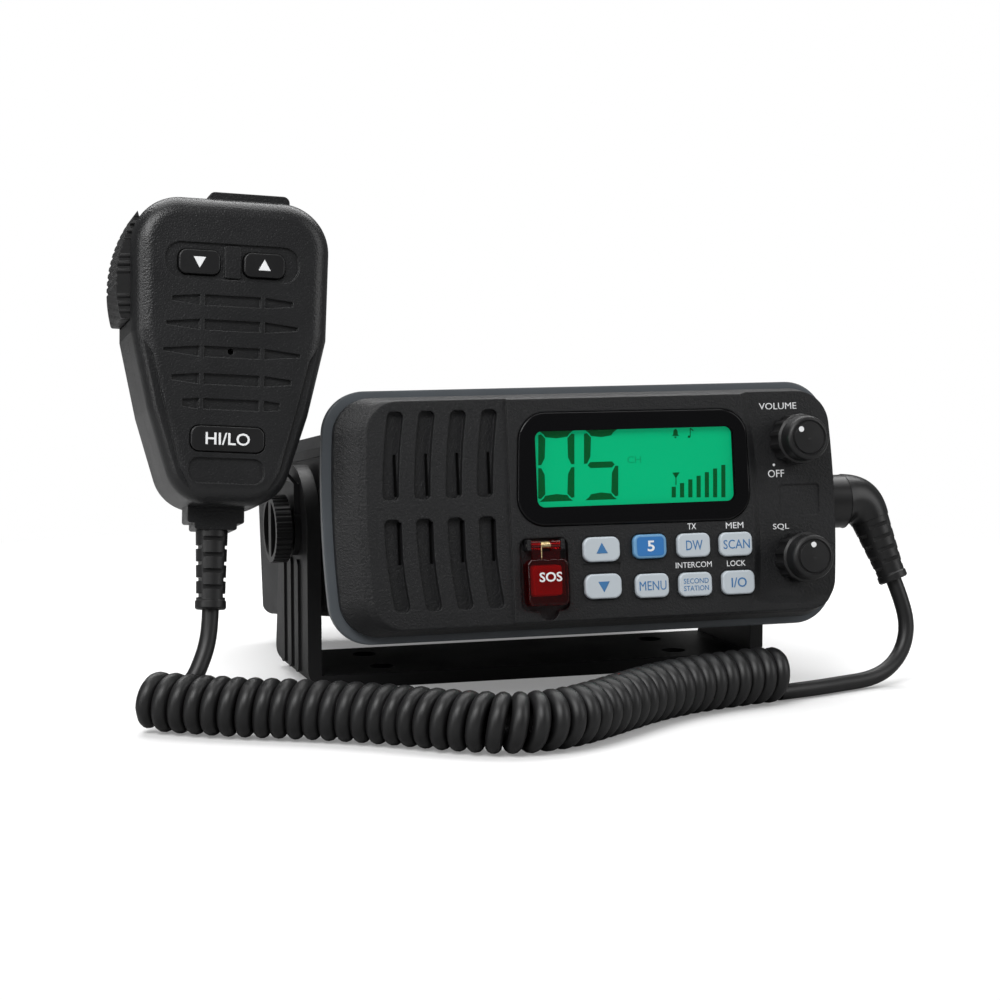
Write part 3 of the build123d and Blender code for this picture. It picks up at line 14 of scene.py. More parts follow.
import bmesh
import bpy
import numpy as np
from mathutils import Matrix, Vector

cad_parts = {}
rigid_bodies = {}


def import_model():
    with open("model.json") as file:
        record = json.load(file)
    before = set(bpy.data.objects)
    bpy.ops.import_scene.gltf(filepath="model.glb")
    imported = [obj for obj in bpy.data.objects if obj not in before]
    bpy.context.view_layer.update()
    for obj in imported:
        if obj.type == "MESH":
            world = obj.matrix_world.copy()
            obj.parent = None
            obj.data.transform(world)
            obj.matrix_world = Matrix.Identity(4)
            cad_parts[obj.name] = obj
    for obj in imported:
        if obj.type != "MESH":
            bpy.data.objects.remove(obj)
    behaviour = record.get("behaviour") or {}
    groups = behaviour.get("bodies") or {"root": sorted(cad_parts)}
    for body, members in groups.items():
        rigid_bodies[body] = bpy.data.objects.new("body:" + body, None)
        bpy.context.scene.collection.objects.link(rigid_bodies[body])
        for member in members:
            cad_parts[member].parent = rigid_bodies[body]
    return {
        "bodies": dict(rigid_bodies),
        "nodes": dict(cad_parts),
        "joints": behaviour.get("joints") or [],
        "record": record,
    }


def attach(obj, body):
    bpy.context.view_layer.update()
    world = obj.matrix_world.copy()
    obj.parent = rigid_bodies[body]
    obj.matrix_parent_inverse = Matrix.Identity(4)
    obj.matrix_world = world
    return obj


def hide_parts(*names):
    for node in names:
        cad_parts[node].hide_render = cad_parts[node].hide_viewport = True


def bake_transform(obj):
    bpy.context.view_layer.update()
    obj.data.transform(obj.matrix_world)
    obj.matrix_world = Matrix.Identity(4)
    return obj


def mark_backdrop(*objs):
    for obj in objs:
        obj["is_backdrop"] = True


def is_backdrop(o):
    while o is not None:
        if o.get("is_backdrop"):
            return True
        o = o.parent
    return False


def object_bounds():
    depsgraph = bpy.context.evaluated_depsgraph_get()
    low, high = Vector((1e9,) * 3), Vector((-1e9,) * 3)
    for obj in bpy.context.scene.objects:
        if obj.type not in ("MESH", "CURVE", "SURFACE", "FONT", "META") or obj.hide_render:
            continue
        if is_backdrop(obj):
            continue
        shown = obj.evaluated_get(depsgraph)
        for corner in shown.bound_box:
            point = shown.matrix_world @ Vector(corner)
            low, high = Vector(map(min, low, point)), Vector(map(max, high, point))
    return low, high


LOG = logging.getLogger("radio")
MM = 0.001
CREASE = 35.0  # faces meeting at less than this many degrees shade as one
Colour = tuple[float, float, float]
Triple = tuple[float, float, float]
Pair = tuple[float, float]
Input = float | bpy.types.NodeSocket
WHITE = (1.0, 1.0, 1.0, 1.0)
EDGE_SAMPLES = 4  # rays that round an edge's shading
SKIN_BLEND = 0.35  # how fast the mirroring of a clear skin grows towards its edges
SKIN_ROUGH = 0.08
LETTER_STEPS = 3  # points on each bend of a letter
CURVE_STEPS = 24  # points on each span of a cord's curve


# ------------------------------------------------------------------ frames
@dataclass(frozen=True)
class LeanedFrame:
    """Axes of a sub-assembly that leans in the shared frame."""

    origin: np.ndarray
    right: np.ndarray
    back: np.ndarray
    up: np.ndarray

    def place(self, local: np.ndarray) -> np.ndarray:
        """Shared-frame points of local ones.

        Each point is the origin plus x times the right axis, depth times the back axis and
        z times the up axis.

        Args:
            local: rows of (x, depth, z), in millimetres.

        Returns:
            Rows of (x, y, z), in metres.
        """
        axes = np.array((self.right, self.back, self.up))
        return self.origin + MM * np.asarray(local, float) @ axes


def joint_named(frame: dict, name: str) -> dict:
    """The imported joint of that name."""
    return next(joint for joint in frame["joints"] if joint["name"] == name)


def leaned_frame(frame: dict, spot_joint: str, spot: Triple, back_joint: str, rise_joint: str) -> LeanedFrame:
    """Works out a sub-assembly's frame from its joints.

    Args:
        frame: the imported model.
        spot_joint: a joint with a place.
        spot: that joint's place in the local frame, in millimetres.
        back_joint: a joint whose axis is the local depth direction.
        rise_joint: a joint whose axis is the local up direction, or is square to it and to the
            depth direction and points left.

    Returns:
        The frame.
    """
    back = np.array(joint_named(frame, back_joint)["axis"], float)
    back /= np.linalg.norm(back)
    rise = np.array(joint_named(frame, rise_joint)["axis"], float)
    rise /= np.linalg.norm(rise)
    points_left = abs(rise[0]) > 0.5
    up = np.cross(-rise, back) if points_left else rise
    right = np.cross(back, up)
    place = np.array(joint_named(frame, spot_joint)["pos_m"], float)
    origin = place - MM * (spot[0] * right + spot[1] * back + spot[2] * up)
    return LeanedFrame(origin, right, back, up)


# ------------------------------------------------------------------ meshes
def ring_faces(rings: int, around: int) -> np.ndarray:
    """Quads between neighbouring rings of points that are stored ring by ring.

    Args:
        rings: number of rings.
        around: points on each ring.

    Returns:
        One row of four point numbers for each quad.
    """
    ring, spot = np.meshgrid(np.arange(rings - 1), np.arange(around), indexing="ij")
    after = (spot + 1) % around
    this, following = ring * around, (ring + 1) * around
    quads = (this + spot, this + after, following + after, following + spot)
    return np.stack(quads, -1).reshape(-1, 4)


@dataclass
class Surface:
    """Points and faces of one closed surface, in a local frame or the shared one."""

    points: np.ndarray
    faces: list[Sequence[int]]

    def __add__(self, other: "Surface") -> "Surface":
        """Both surfaces in one, as separate shells.

        Args:
            other: the surface to add.

        Returns:
            The new surface.
        """
        shift = len(self.points)
        moved = [[number + shift for number in face] for face in other.faces]
        return Surface(np.vstack((self.points, other.points)), list(self.faces) + moved)

    def placed(self, frame: LeanedFrame) -> "Surface":
        """The surface in the shared frame."""
        return Surface(frame.place(self.points), self.faces)


def joined(shapes: Sequence[Surface]) -> Surface:
    """Several surfaces in one, as separate shells, in the order given.

    Args:
        shapes: the surfaces.

    Returns:
        The new surface.
    """
    whole = shapes[0]
    for other in shapes[1:]:
        whole = whole + other
    return whole


def lofted(rings: np.ndarray) -> Surface:
    """Closed surface through a stack of rings.

    Point (i, j) of the surface is point j of ring i; the first and last rings are capped.

    Args:
        rings: array of (ring, point on the ring, x y z).

    Returns:
        The capped surface.
    """
    count, around = rings.shape[:2]
    faces = ring_faces(count, around).tolist()
    faces.append(list(range(around))[::-1])
    faces.append(list(range((count - 1) * around, count * around)))
    return Surface(rings.reshape(-1, 3), faces)


def rounded_outline(half: Pair, corner: float, steps: int = 6) -> np.ndarray:
    """Outline of a rounded rectangle about the origin, anticlockwise.

    Each corner is a quarter circle: its centre plus the radius times (cos, sin) of the angle.

    Args:
        half: half the width and half the height.
        corner: corner radius.
        steps: points on each quarter circle.

    Returns:
        Rows of (u, v).
    """
    sweep = np.linspace(0, math.pi / 2, steps)
    quarter = np.arange(4)
    angle = (quarter[:, None] * math.pi / 2 + sweep).ravel()
    signs = np.array(((1, 1), (-1, 1), (-1, -1), (1, -1)), float)
    centre = np.repeat(signs * (np.array(half) - corner), steps, axis=0)
    return centre + corner * np.stack((np.cos(angle), np.sin(angle)), -1)


def circle_outline(radius: float, steps: int = 24) -> np.ndarray:
    """Points on a circle about the origin: the radius times (cos, sin) of even angles."""
    angle = np.arange(steps) * 2 * math.pi / steps
    return radius * np.stack((np.cos(angle), np.sin(angle)), -1)


def flat_plate(outline: np.ndarray, spot: Pair, back: float, front: float) -> Surface:
    """A flat plate, seen along the depth axis: its outline at the back and again at the front.

    Args:
        outline: rows of (u, v) about the origin.
        spot: x and z of the outline's middle.
        back: depth of the rear face.
        front: depth of the front face.

    Returns:
        The plate, in the local frame.
    """
    rings = np.empty((2, len(outline), 3))
    rings[..., 0] = outline[:, 0] + spot[0]
    rings[..., 1] = ((back,), (front,))
    rings[..., 2] = outline[:, 1] + spot[1]
    return lofted(rings)


def swept_tube(path: np.ndarray, radius: np.ndarray | float, around: int) -> Surface:
    """Round tube along a path.

    Each ring is the path's point plus the radius times (cos a, sin a) in a plane square to
    the path. The planes' first axis is carried from ring to ring by taking out its share
    along the new direction, so that the tube doesn't twist.

    Args:
        path: rows of points.
        radius: one radius, or one for each point.
        around: points on each ring.

    Returns:
        The capped tube.
    """
    along = np.gradient(path, axis=0)
    along /= np.linalg.norm(along, axis=1, keepdims=True)
    side = np.empty_like(path)
    first = np.cross(along[0], (0.0, 0.0, 1.0))
    upright = np.linalg.norm(first) < 0.1
    if upright:
        first = np.cross(along[0], (1.0, 0.0, 0.0))
    side[0] = first / np.linalg.norm(first)
    for number in range(1, len(path)):
        carried = side[number - 1] - along[number] * (side[number - 1] @ along[number])
        side[number] = carried / np.linalg.norm(carried)
    upward = np.cross(along, side)
    angle = np.arange(around) * 2 * math.pi / around
    reach = np.broadcast_to(np.asarray(radius, float), (len(path),))[:, None, None]
    spread = side[:, None] * np.cos(angle)[None, :, None] + upward[:, None] * np.sin(angle)[None, :, None]
    return lofted(path[:, None] + reach * spread)


def make_piece(
    name: str, surface: Surface, material: bpy.types.Material, smooth: bool = True
) -> bpy.types.Object:
    """Make one mesh object at the origin from a surface in the shared frame.

    Args:
        name: object name.
        surface: points in metres and faces.
        material: the finish.
        smooth: whether faces meeting at less than the crease angle shade as one.

    Returns:
        The new object.
    """
    mesh = bpy.data.meshes.new(name)
    mesh.from_pydata(surface.points.tolist(), [], [list(face) for face in surface.faces])
    mesh.validate()
    turn_outward(mesh)
    if smooth:
        mesh.shade_smooth()
        mesh.set_sharp_from_angle(angle=math.radians(CREASE))
    mesh.materials.append(material)
    piece = bpy.data.objects.new(name, mesh)
    bpy.context.scene.collection.objects.link(piece)
    LOG.info("piece %s: %d faces", name, len(mesh.polygons))
    return piece


def turn_outward(mesh: bpy.types.Mesh) -> None:
    """Make the faces of a closed mesh point outward.

    Args:
        mesh: the mesh to change.
    """
    work = bmesh.new()
    work.from_mesh(mesh)
    bmesh.ops.recalc_face_normals(work, faces=work.faces)
    work.to_mesh(mesh)
    work.free()


def meshed_curve(curve: bpy.types.Curve) -> tuple[np.ndarray, list[list[int]]]:
    """The points and faces that a curve or a word gives as a mesh. The curve is removed.

    Args:
        curve: the curve's data.

    Returns:
        Rows of points, and the point numbers of each face.
    """
    holder = bpy.data.objects.new(curve.name, curve)
    mesh = bpy.data.meshes.new_from_object(holder)
    flat = np.empty(len(mesh.vertices) * 3)
    mesh.vertices.foreach_get("co", flat)
    faces = [list(face.vertices) for face in mesh.polygons]
    bpy.data.objects.remove(holder)
    bpy.data.meshes.remove(mesh)
    bpy.data.curves.remove(curve)
    return flat.reshape(-1, 3), faces


@dataclass(frozen=True)
class Lettering:
    """A short word or a number that stands a little proud of a surface.

    Attributes:
        text: the characters.
        spot: x and z of the middle, in the local frame.
        height: height of the capitals.
        width: width of the whole word, or none to keep the letters' own shape.
        heavy: extra weight of the strokes, as a share of the height.
    """

    text: str
    spot: Pair
    height: float
    width: float | None = None
    heavy: float = 0.0

    def surface(self, front: float, thick: float) -> Surface:
        """The word as a closed surface in the local frame.

        Args:
            front: depth of the letters' front faces.
            thick: thickness of the letters.

        Returns:
            The word.
        """
        curve = bpy.data.curves.new("word", "FONT")
        curve.body = self.text
        curve.extrude = 0.5
        curve.offset = self.heavy
        curve.resolution_u = LETTER_STEPS
        flat, faces = meshed_curve(curve)
        low, high = flat.min(0), flat.max(0)
        scale = self.height / (high[1] - low[1])
        across = self.width / (high[0] - low[0]) if self.width else scale
        middle = (low + high) / 2
        points = np.empty_like(flat)
        points[:, 0] = self.spot[0] + (flat[:, 0] - middle[0]) * across
        points[:, 1] = front + thick * (0.5 - (flat[:, 2] - middle[2]) / (high[2] - low[2]))
        points[:, 2] = self.spot[1] + (flat[:, 1] - middle[1]) * scale
        return Surface(points, faces)


# ------------------------------------------------------------------ shaders
class Graph:
    """Adds nodes to one node tree and links them."""

    def __init__(self, tree: bpy.types.NodeTree) -> None:
        """Args:
            tree: the tree of a material or of a node group.
        """
        self.tree = tree

    def add(self, kind: str, inputs: dict | None = None, **settings) -> bpy.types.Node:
        """Add one node.

        Args:
            kind: the node's type name.
            inputs: for each input's name or number, a constant or an output socket to link.
            settings: attributes of the node.

        Returns:
            The node.
        """
        node = self.tree.nodes.new(kind)
        for name, value in settings.items():
            setattr(node, name, value)
        for key, value in (inputs or {}).items():
            if isinstance(value, bpy.types.NodeSocket):
                self.tree.links.new(value, node.inputs[key])
            else:
                node.inputs[key].default_value = value
        return node

    def math(self, operation: str, first: Input, second: Input = 0.0) -> bpy.types.NodeSocket:
        """The unclamped result of one Math node."""
        return self.add("ShaderNodeMath", {0: first, 1: second}, operation=operation).outputs[0]


def noise(
    graph: Graph, at: bpy.types.NodeSocket, scale: Input, detail: float = 2.0
) -> bpy.types.NodeSocket:
    """The height of one Noise Texture node.

    Args:
        graph: the group's graph.
        at: the place on the surface.
        scale: waves in a metre.
        detail: how many finer noises are added.

    Returns:
        The height's socket.
    """
    node = graph.add("ShaderNodeTexNoise", {"Vector": at, "Scale": scale, "Detail": detail})
    return node.outputs[0]


def new_group(
    name: str, inputs: dict[str, float], output: str
) -> tuple[Graph, bpy.types.Node, bpy.types.Node]:
    """Start a node group that takes a vector and numbers and gives one number.

    Args:
        name: the group's name.
        inputs: numeric inputs with their defaults.
        output: name of the output.

    Returns:
        The graph, the group's input node and its output node.
    """
    tree = bpy.data.node_groups.new(name, "ShaderNodeTree")
    tree.interface.new_socket("Vector", in_out="INPUT", socket_type="NodeSocketVector")
    for key, value in inputs.items():
        tree.interface.new_socket(key, in_out="INPUT", socket_type="NodeSocketFloat").default_value = value
    tree.interface.new_socket(output, in_out="OUTPUT", socket_type="NodeSocketFloat")
    graph = Graph(tree)
    return graph, graph.add("NodeGroupInput"), graph.add("NodeGroupOutput")


class Texture(Enum):
    """Kinds of surface relief, each a node group that gives a height."""

    GRAIN = "moulded grain"
    FINE = "fine sand"
    WEAVE = "woven cloth"
    BRUSHED = "brushed lines"
    STUDS = "rows of small studs"
    SMOOTH = "faint waviness"


def grain_group() -> bpy.types.NodeTree:
    """Leather-like moulded grain: rounded cells whose edges sink, broken up by a finer noise.

    Returns:
        The group.
    """
    finer, rough_share, uneven_share = 2.6, 0.35, 0.5
    graph, given, result = new_group(Texture.GRAIN.value, {"Scale": 1000.0}, "Height")
    at, scale = given.outputs["Vector"], given.outputs["Scale"]
    cells = graph.add("ShaderNodeTexVoronoi", {"Vector": at, "Scale": scale}, feature="SMOOTH_F1")
    domes = graph.math("SUBTRACT", 1.0, cells.outputs["Distance"])
    rough = graph.math("MULTIPLY", noise(graph, at, graph.math("MULTIPLY", scale, finer)), rough_share)
    uneven = graph.math("MULTIPLY", noise(graph, at, scale, 1.0), uneven_share)
    total = graph.math("ADD", graph.math("ADD", domes, rough), uneven)
    graph.tree.links.new(total, result.inputs[0])
    return graph.tree


def fine_group() -> bpy.types.NodeTree:
    """Fine sandy relief of spark-eroded moulds: two noises, one three times finer.

    Returns:
        The group.
    """
    finer, fine_share = 3.0, 0.6
    graph, given, result = new_group(Texture.FINE.value, {"Scale": 1000.0}, "Height")
    at, scale = given.outputs["Vector"], given.outputs["Scale"]
    fine = noise(graph, at, graph.math("MULTIPLY", scale, finer), 1.0)
    total = graph.math("ADD", noise(graph, at, scale, 3.0), graph.math("MULTIPLY", fine, fine_share))
    graph.tree.links.new(total, result.inputs[0])
    return graph.tree


def weave_group() -> bpy.types.NodeTree:
    """Plain weave: the product of two sine ridges that run across each other.

    Returns:
        The group.
    """
    graph, given, result = new_group(Texture.WEAVE.value, {"Scale": 1000.0}, "Height")
    parts = graph.add("ShaderNodeSeparateXYZ", {0: given.outputs["Vector"]})
    ridges = []
    for axis in ("X", "Z"):
        turns = graph.math("MULTIPLY", parts.outputs[axis], given.outputs["Scale"])
        ridges.append(graph.math("SINE", graph.math("MULTIPLY", turns, 2 * math.pi)))
    graph.tree.links.new(graph.math("MULTIPLY", ridges[0], ridges[1]), result.inputs[0])
    return graph.tree


def brushed_group() -> bpy.types.NodeTree:
    """Lines along X: noise whose X coordinate is stretched forty times.

    Returns:
        The group.
    """
    graph, given, result = new_group(Texture.BRUSHED.value, {"Scale": 1000.0}, "Height")
    factors = {0: given.outputs["Vector"], 1: (1 / 40, 1.0, 1.0)}
    long = graph.add("ShaderNodeVectorMath", factors, operation="MULTIPLY")
    graph.tree.links.new(noise(graph, long.outputs[0], given.outputs["Scale"]), result.inputs[0])
    return graph.tree


def studs_group() -> bpy.types.NodeTree:
    """Rounded studs on a square grid: the size of the product of two sines, less the ground, or 0.

    Returns:
        The group.
    """
    ground = 0.45
    graph, given, result = new_group(Texture.STUDS.value, {"Scale": 1000.0}, "Height")
    parts = graph.add("ShaderNodeSeparateXYZ", {0: given.outputs["Vector"]})
    waves = []
    for axis in ("Y", "Z"):
        turns = graph.math("MULTIPLY", parts.outputs[axis], given.outputs["Scale"])
        waves.append(graph.math("ABSOLUTE", graph.math("SINE", graph.math("MULTIPLY", turns, math.pi))))
    domes = graph.math("SUBTRACT", graph.math("MULTIPLY", waves[0], waves[1]), ground)
    graph.tree.links.new(graph.math("MAXIMUM", domes, 0.0), result.inputs[0])
    return graph.tree


def smooth_group() -> bpy.types.NodeTree:
    """Slow waviness of a moulded gloss surface.

    Returns:
        The group.
    """
    graph, given, result = new_group(Texture.SMOOTH.value, {"Scale": 100.0}, "Height")
    slow = noise(graph, given.outputs["Vector"], given.outputs["Scale"], 0.0)
    graph.tree.links.new(slow, result.inputs[0])
    return graph.tree


def mottle_group() -> bpy.types.NodeTree:
    """Uneven wear from 0 to 1: broad handling marks with a few small specks in them.

    A speck is where a finer noise rises from the first height to the second.

    Returns:
        The group.
    """
    finer, first, second, strength = 18.0, 0.62, 0.75, 0.35
    graph, given, result = new_group("mottle", {"Scale": 60.0}, "Amount")
    at, scale = given.outputs["Vector"], given.outputs["Scale"]
    specks = noise(graph, at, graph.math("MULTIPLY", scale, finer))
    raised = graph.add(
        "ShaderNodeMapRange", {"Value": specks, "From Min": first, "From Max": second, "To Max": strength}
    )
    parts = {0: noise(graph, at, scale, 4.0), 1: raised.outputs[0]}
    total = graph.add("ShaderNodeMath", parts, operation="ADD", use_clamp=True)
    graph.tree.links.new(total.outputs[0], result.inputs[0])
    return graph.tree


GROUP_MAKERS = {
    Texture.GRAIN: grain_group,
    Texture.FINE: fine_group,
    Texture.WEAVE: weave_group,
    Texture.BRUSHED: brushed_group,
    Texture.STUDS: studs_group,
    Texture.SMOOTH: smooth_group,
}


def shared_group(name: str, maker: Callable[[], bpy.types.NodeTree]) -> bpy.types.NodeTree:
    """The node group of that name, made the first time it is asked for."""
    return bpy.data.node_groups.get(name) or maker()


@dataclass(frozen=True)
class Finish:
    """One surface finish.

    Attributes:
        name: the material's name.
        colour: base colour, linear.
        rough: middle roughness.
        texture: kind of relief.
        cell: size of the relief's cells, in millimetres.
        relief: depth of the relief, in millimetres.
        metal: 1 for bare metal.
        wear: how far the mottle shifts the roughness down and up.
        tint: how far the mottle darkens and lightens the colour, as a share.
        soften: radius by which the shading rounds sharp edges, in millimetres.
        specular: level of the plain reflection.
        glow: strength of the light that the surface gives off.
    """

    name: str
    colour: Colour
    rough: float
    texture: Texture = Texture.FINE
    cell: float = 0.5
    relief: float = 0.02
    metal: float = 0.0
    wear: float = 0.08
    tint: float = 0.12
    soften: float = 0.25
    specular: float = 0.5
    glow: float = 0.0

    def material(self) -> bpy.types.Material:
        """The material, made the first time it is asked for.

        Returns:
            The material.
        """
        label = f"{self.name}_finish"
        known = bpy.data.materials.get(label)
        if known:
            return known
        made = bpy.data.materials.new(label)
        made.use_nodes = True
        made.node_tree.nodes.clear()
        graph = Graph(made.node_tree)
        shader = self.surface(graph)
        graph.add("ShaderNodeOutputMaterial", {"Surface": shader.outputs[0]})
        return made

    def surface(self, graph: Graph) -> bpy.types.Node:
        """The Principled node with this finish's colour, roughness and relief.

        Args:
            graph: the material's graph.

        Returns:
            The Principled node.
        """
        spot = graph.add("ShaderNodeTexCoord").outputs["Object"]
        mottle = graph.add("ShaderNodeGroup", node_tree=shared_group("mottle", mottle_group))
        graph.tree.links.new(spot, mottle.inputs["Vector"])
        amount = mottle.outputs[0]
        lighter = tuple(min(1.0, part * (1 + self.tint)) for part in self.colour)
        darker = tuple(part * (1 - self.tint) for part in self.colour)
        shades = {0: amount, 6: (*darker, 1.0), 7: (*lighter, 1.0)}
        colour = graph.add("ShaderNodeMix", shades, data_type="RGBA")
        rough = graph.add(
            "ShaderNodeMapRange",
            {"Value": amount, "To Min": self.rough - self.wear, "To Max": min(1.0, self.rough + self.wear)},
        )
        edge = graph.add("ShaderNodeBevel", {"Radius": self.soften * MM}, samples=EDGE_SAMPLES)
        relief = graph.add(
            "ShaderNodeGroup", node_tree=shared_group(self.texture.value, GROUP_MAKERS[self.texture])
        )
        graph.tree.links.new(spot, relief.inputs["Vector"])
        relief.inputs["Scale"].default_value = 1 / (self.cell * MM)
        bump = graph.add(
            "ShaderNodeBump",
            {"Height": relief.outputs[0], "Distance": self.relief * MM, "Normal": edge.outputs[0]},
        )
        return graph.add(
            "ShaderNodeBsdfPrincipled",
            {
                "Base Color": colour.outputs[2], "Roughness": rough.outputs[0], "Metallic": self.metal,
                "Normal": bump.outputs[0], "Specular IOR Level": self.specular,
                "Emission Color": (*self.colour, 1.0), "Emission Strength": self.glow,
            },
        )


@dataclass(frozen=True)
class ClearFinish(Finish):
    """A see-through moulding: its colour filters what is behind, and its skin mirrors the lights.

    Attributes:
        filter: colour of the light that passes, linear.
        rim: share of the reflection at a flat angle of view.
        solid: share of the coloured plastic itself.
    """

    filter: Colour = (1.0, 1.0, 1.0)
    rim: float = 0.6
    solid: float = 0.10

    def glass(self, graph: Graph) -> bpy.types.NodeSocket:
        """A clear body with a mirroring skin.

        Args:
            graph: the material's graph.

        Returns:
            The shader socket.
        """
        facing = graph.add("ShaderNodeLayerWeight", {"Blend": SKIN_BLEND}).outputs["Fresnel"]
        share = graph.add("ShaderNodeMapRange", {"Value": facing, "To Max": self.rim})
        passing = graph.add("ShaderNodeBsdfTransparent", {"Color": (*self.filter, 1.0)})
        skin = graph.add("ShaderNodeBsdfGlossy", {"Color": WHITE, "Roughness": SKIN_ROUGH})
        return graph.add(
            "ShaderNodeMixShader", {0: share.outputs[0], 1: passing.outputs[0], 2: skin.outputs[0]}
        ).outputs[0]

    def surface(self, graph: Graph) -> bpy.types.Node:
        """A mix of the clear body and a little of the coloured plastic.

        Args:
            graph: the material's graph.

        Returns:
            The mix node.
        """
        solid = super().surface(graph)
        return graph.add("ShaderNodeMixShader", {0: self.solid, 1: self.glass(graph), 2: solid.outputs[0]})


@dataclass(frozen=True)
class PaneFinish(ClearFinish):
    """The display's black gloss pane with its clear opening.

    Attributes:
        axes: the radio's frame.
        middle: x and z of the opening's middle in that frame, in millimetres.
        half: half the opening's width and height.
        corner: radius of the opening's corners.
    """

    axes: LeanedFrame | None = None
    middle: Pair = (14.9, 13.0)
    half: Pair = (33.2, 11.9)
    corner: float = 2.4

    def surface(self, graph: Graph) -> bpy.types.Node:
        """Black plastic outside the opening, clear inside.

        A spot is inside when the length of max(|p| - (half - corner), 0) is under the corner
        radius, with p measured from the opening's middle.

        Args:
            graph: the material's graph.

        Returns:
            The mix node.
        """
        solid = Finish.surface(self, graph)
        spot = graph.add("ShaderNodeTexCoord").outputs["Object"]
        parts = {}
        rows = zip("XY", (self.axes.right, self.axes.up), self.middle, self.half)
        for axis, direction, middle, half in rows:
            along = graph.add("ShaderNodeVectorMath", {0: spot, 1: tuple(direction)}, operation="DOT_PRODUCT")
            start = float(self.axes.origin @ direction) + middle * MM
            away = graph.math("ABSOLUTE", graph.math("SUBTRACT", along.outputs["Value"], start))
            parts[axis] = graph.math("MAXIMUM", graph.math("SUBTRACT", away, (half - self.corner) * MM), 0.0)
        corner = graph.add("ShaderNodeCombineXYZ", parts)
        reach = graph.add("ShaderNodeVectorMath", {0: corner.outputs[0]}, operation="LENGTH").outputs["Value"]
        inside = graph.math("LESS_THAN", reach, self.corner * MM)
        return graph.add("ShaderNodeMixShader", {0: inside, 1: solid.outputs[0], 2: self.glass(graph)})


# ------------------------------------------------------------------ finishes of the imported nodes
BLACK = (0.0095, 0.0097, 0.0105)
INKY = (0.0070, 0.0070, 0.0074)
DULL = 0.30  # reflection level of the dull black surfaces
SLOT_FINISHES = {finish.name: finish for finish in (
    Finish("bracket_paint", (0.011, 0.011, 0.0115), 0.44, Texture.FINE, 0.5, 0.03, specular=DULL),
    Finish("cast_paint", (0.011, 0.0115, 0.0125), 0.48, Texture.GRAIN, 0.5, 0.04, specular=DULL),
    Finish("washer_rubber", INKY, 0.7, specular=DULL),
    Finish("stainless", (0.62, 0.61, 0.58), 0.28, Texture.BRUSHED, 0.3, 0.004, metal=1.0),
    Finish("cord_rubber", INKY, 0.43, Texture.FINE, 0.4, 0.01, specular=0.45),
    Finish("knob_plastic", INKY, 0.36, Texture.FINE, 0.4, 0.01, specular=0.4),
    Finish(
        "gasket_rubber", (0.078, 0.088, 0.098), 0.34, Texture.FINE, 0.4, 0.01, specular=0.55, soften=1.0,
    ),
    Finish(
        "panel_plastic", BLACK, 0.42, Texture.FINE, 0.75, 0.20, specular=0.34, soften=0.7, wear=0.05,
    ),
    Finish("speaker_cloth", (0.003, 0.003, 0.003), 0.9, Texture.WEAVE, 0.6, 0.1, specular=0.1),
    Finish("tinplate", (0.58, 0.58, 0.56), 0.35, Texture.BRUSHED, 0.4, 0.004, metal=1.0),
    Finish("ferrite", (0.045, 0.043, 0.042), 0.6),
    Finish("mask_plastic", (0.006, 0.006, 0.006), 0.6, specular=DULL),
    Finish(
        "lcd_green", (0.0, 0.34, 0.143), 0.5, Texture.SMOOTH, 6.0, 0.002, tint=0.03, specular=0.0, glow=0.55,
    ),
    Finish("board", (0.015, 0.11, 0.045), 0.45),
    Finish("mat_rubber", (0.10, 0.10, 0.11), 0.7),
    Finish("nickel", (0.60, 0.58, 0.53), 0.25, Texture.BRUSHED, 0.3, 0.003, metal=1.0),
    Finish("plug_plastic", INKY, 0.34, Texture.FINE, 0.4, 0.008, specular=0.45),
    Finish("control_rubber", INKY, 0.44, Texture.FINE, 0.4, 0.02, specular=0.4),
    Finish("key_pale", (0.50, 0.55, 0.59), 0.45, Texture.FINE, 0.3, 0.008, tint=0.04),
    Finish("key_blue", (0.13, 0.31, 0.52), 0.45, Texture.FINE, 0.3, 0.008, tint=0.04),
    # The red key's glow is painted light: the key is no lamp, and the faint light brightens it under the red
    # cover.
    Finish("key_red", (0.68, 0.010, 0.018), 0.40, Texture.FINE, 0.3, 0.006, tint=0.05, glow=0.12),
    ClearFinish(
        "cover_red", (0.10, 0.002, 0.004), 0.12, Texture.SMOOTH, 4.0, 0.004, tint=0.05,
        filter=(0.78, 0.06, 0.07),
    ),
    Finish("brass_wire", (0.70, 0.55, 0.30), 0.25, Texture.BRUSHED, 0.2, 0.002, metal=1.0),
    Finish(
        "mic_plastic", (0.0085, 0.0087, 0.0094), 0.34, Texture.GRAIN, 0.52, 0.075, specular=0.42, soften=0.5,
    ),
    Finish("ptt_rubber", INKY, 0.46, Texture.STUDS, 2.4, 1.3, specular=0.4),
    Finish("mic_key", (0.0075, 0.0075, 0.008), 0.34, Texture.FINE, 0.4, 0.01, specular=0.36),
)}
PRINT_WHITE = Finish("print_white", (0.80, 0.81, 0.82), 0.5, Texture.FINE, 0.2, 0.003, tint=0.03)
PRINT_BLUE = Finish("print_blue", (0.045, 0.17, 0.38), 0.5, Texture.FINE, 0.2, 0.003, tint=0.04)
PATCH_BLUE = Finish("patch_blue", (0.030, 0.17, 0.45), 0.4, Texture.FINE, 0.2, 0.003, tint=0.04)
SEGMENT = Finish(
    "lcd_segment", (0.0, 0.075, 0.018), 0.6, Texture.SMOOTH, 3.0, 0.001, tint=0.05, specular=0.0, glow=0.35,
)
FAINT = Finish(
    "lcd_faint", (0.0, 0.25, 0.10), 0.6, Texture.SMOOTH, 3.0, 0.001, tint=0.02, specular=0.0, glow=0.5,
)


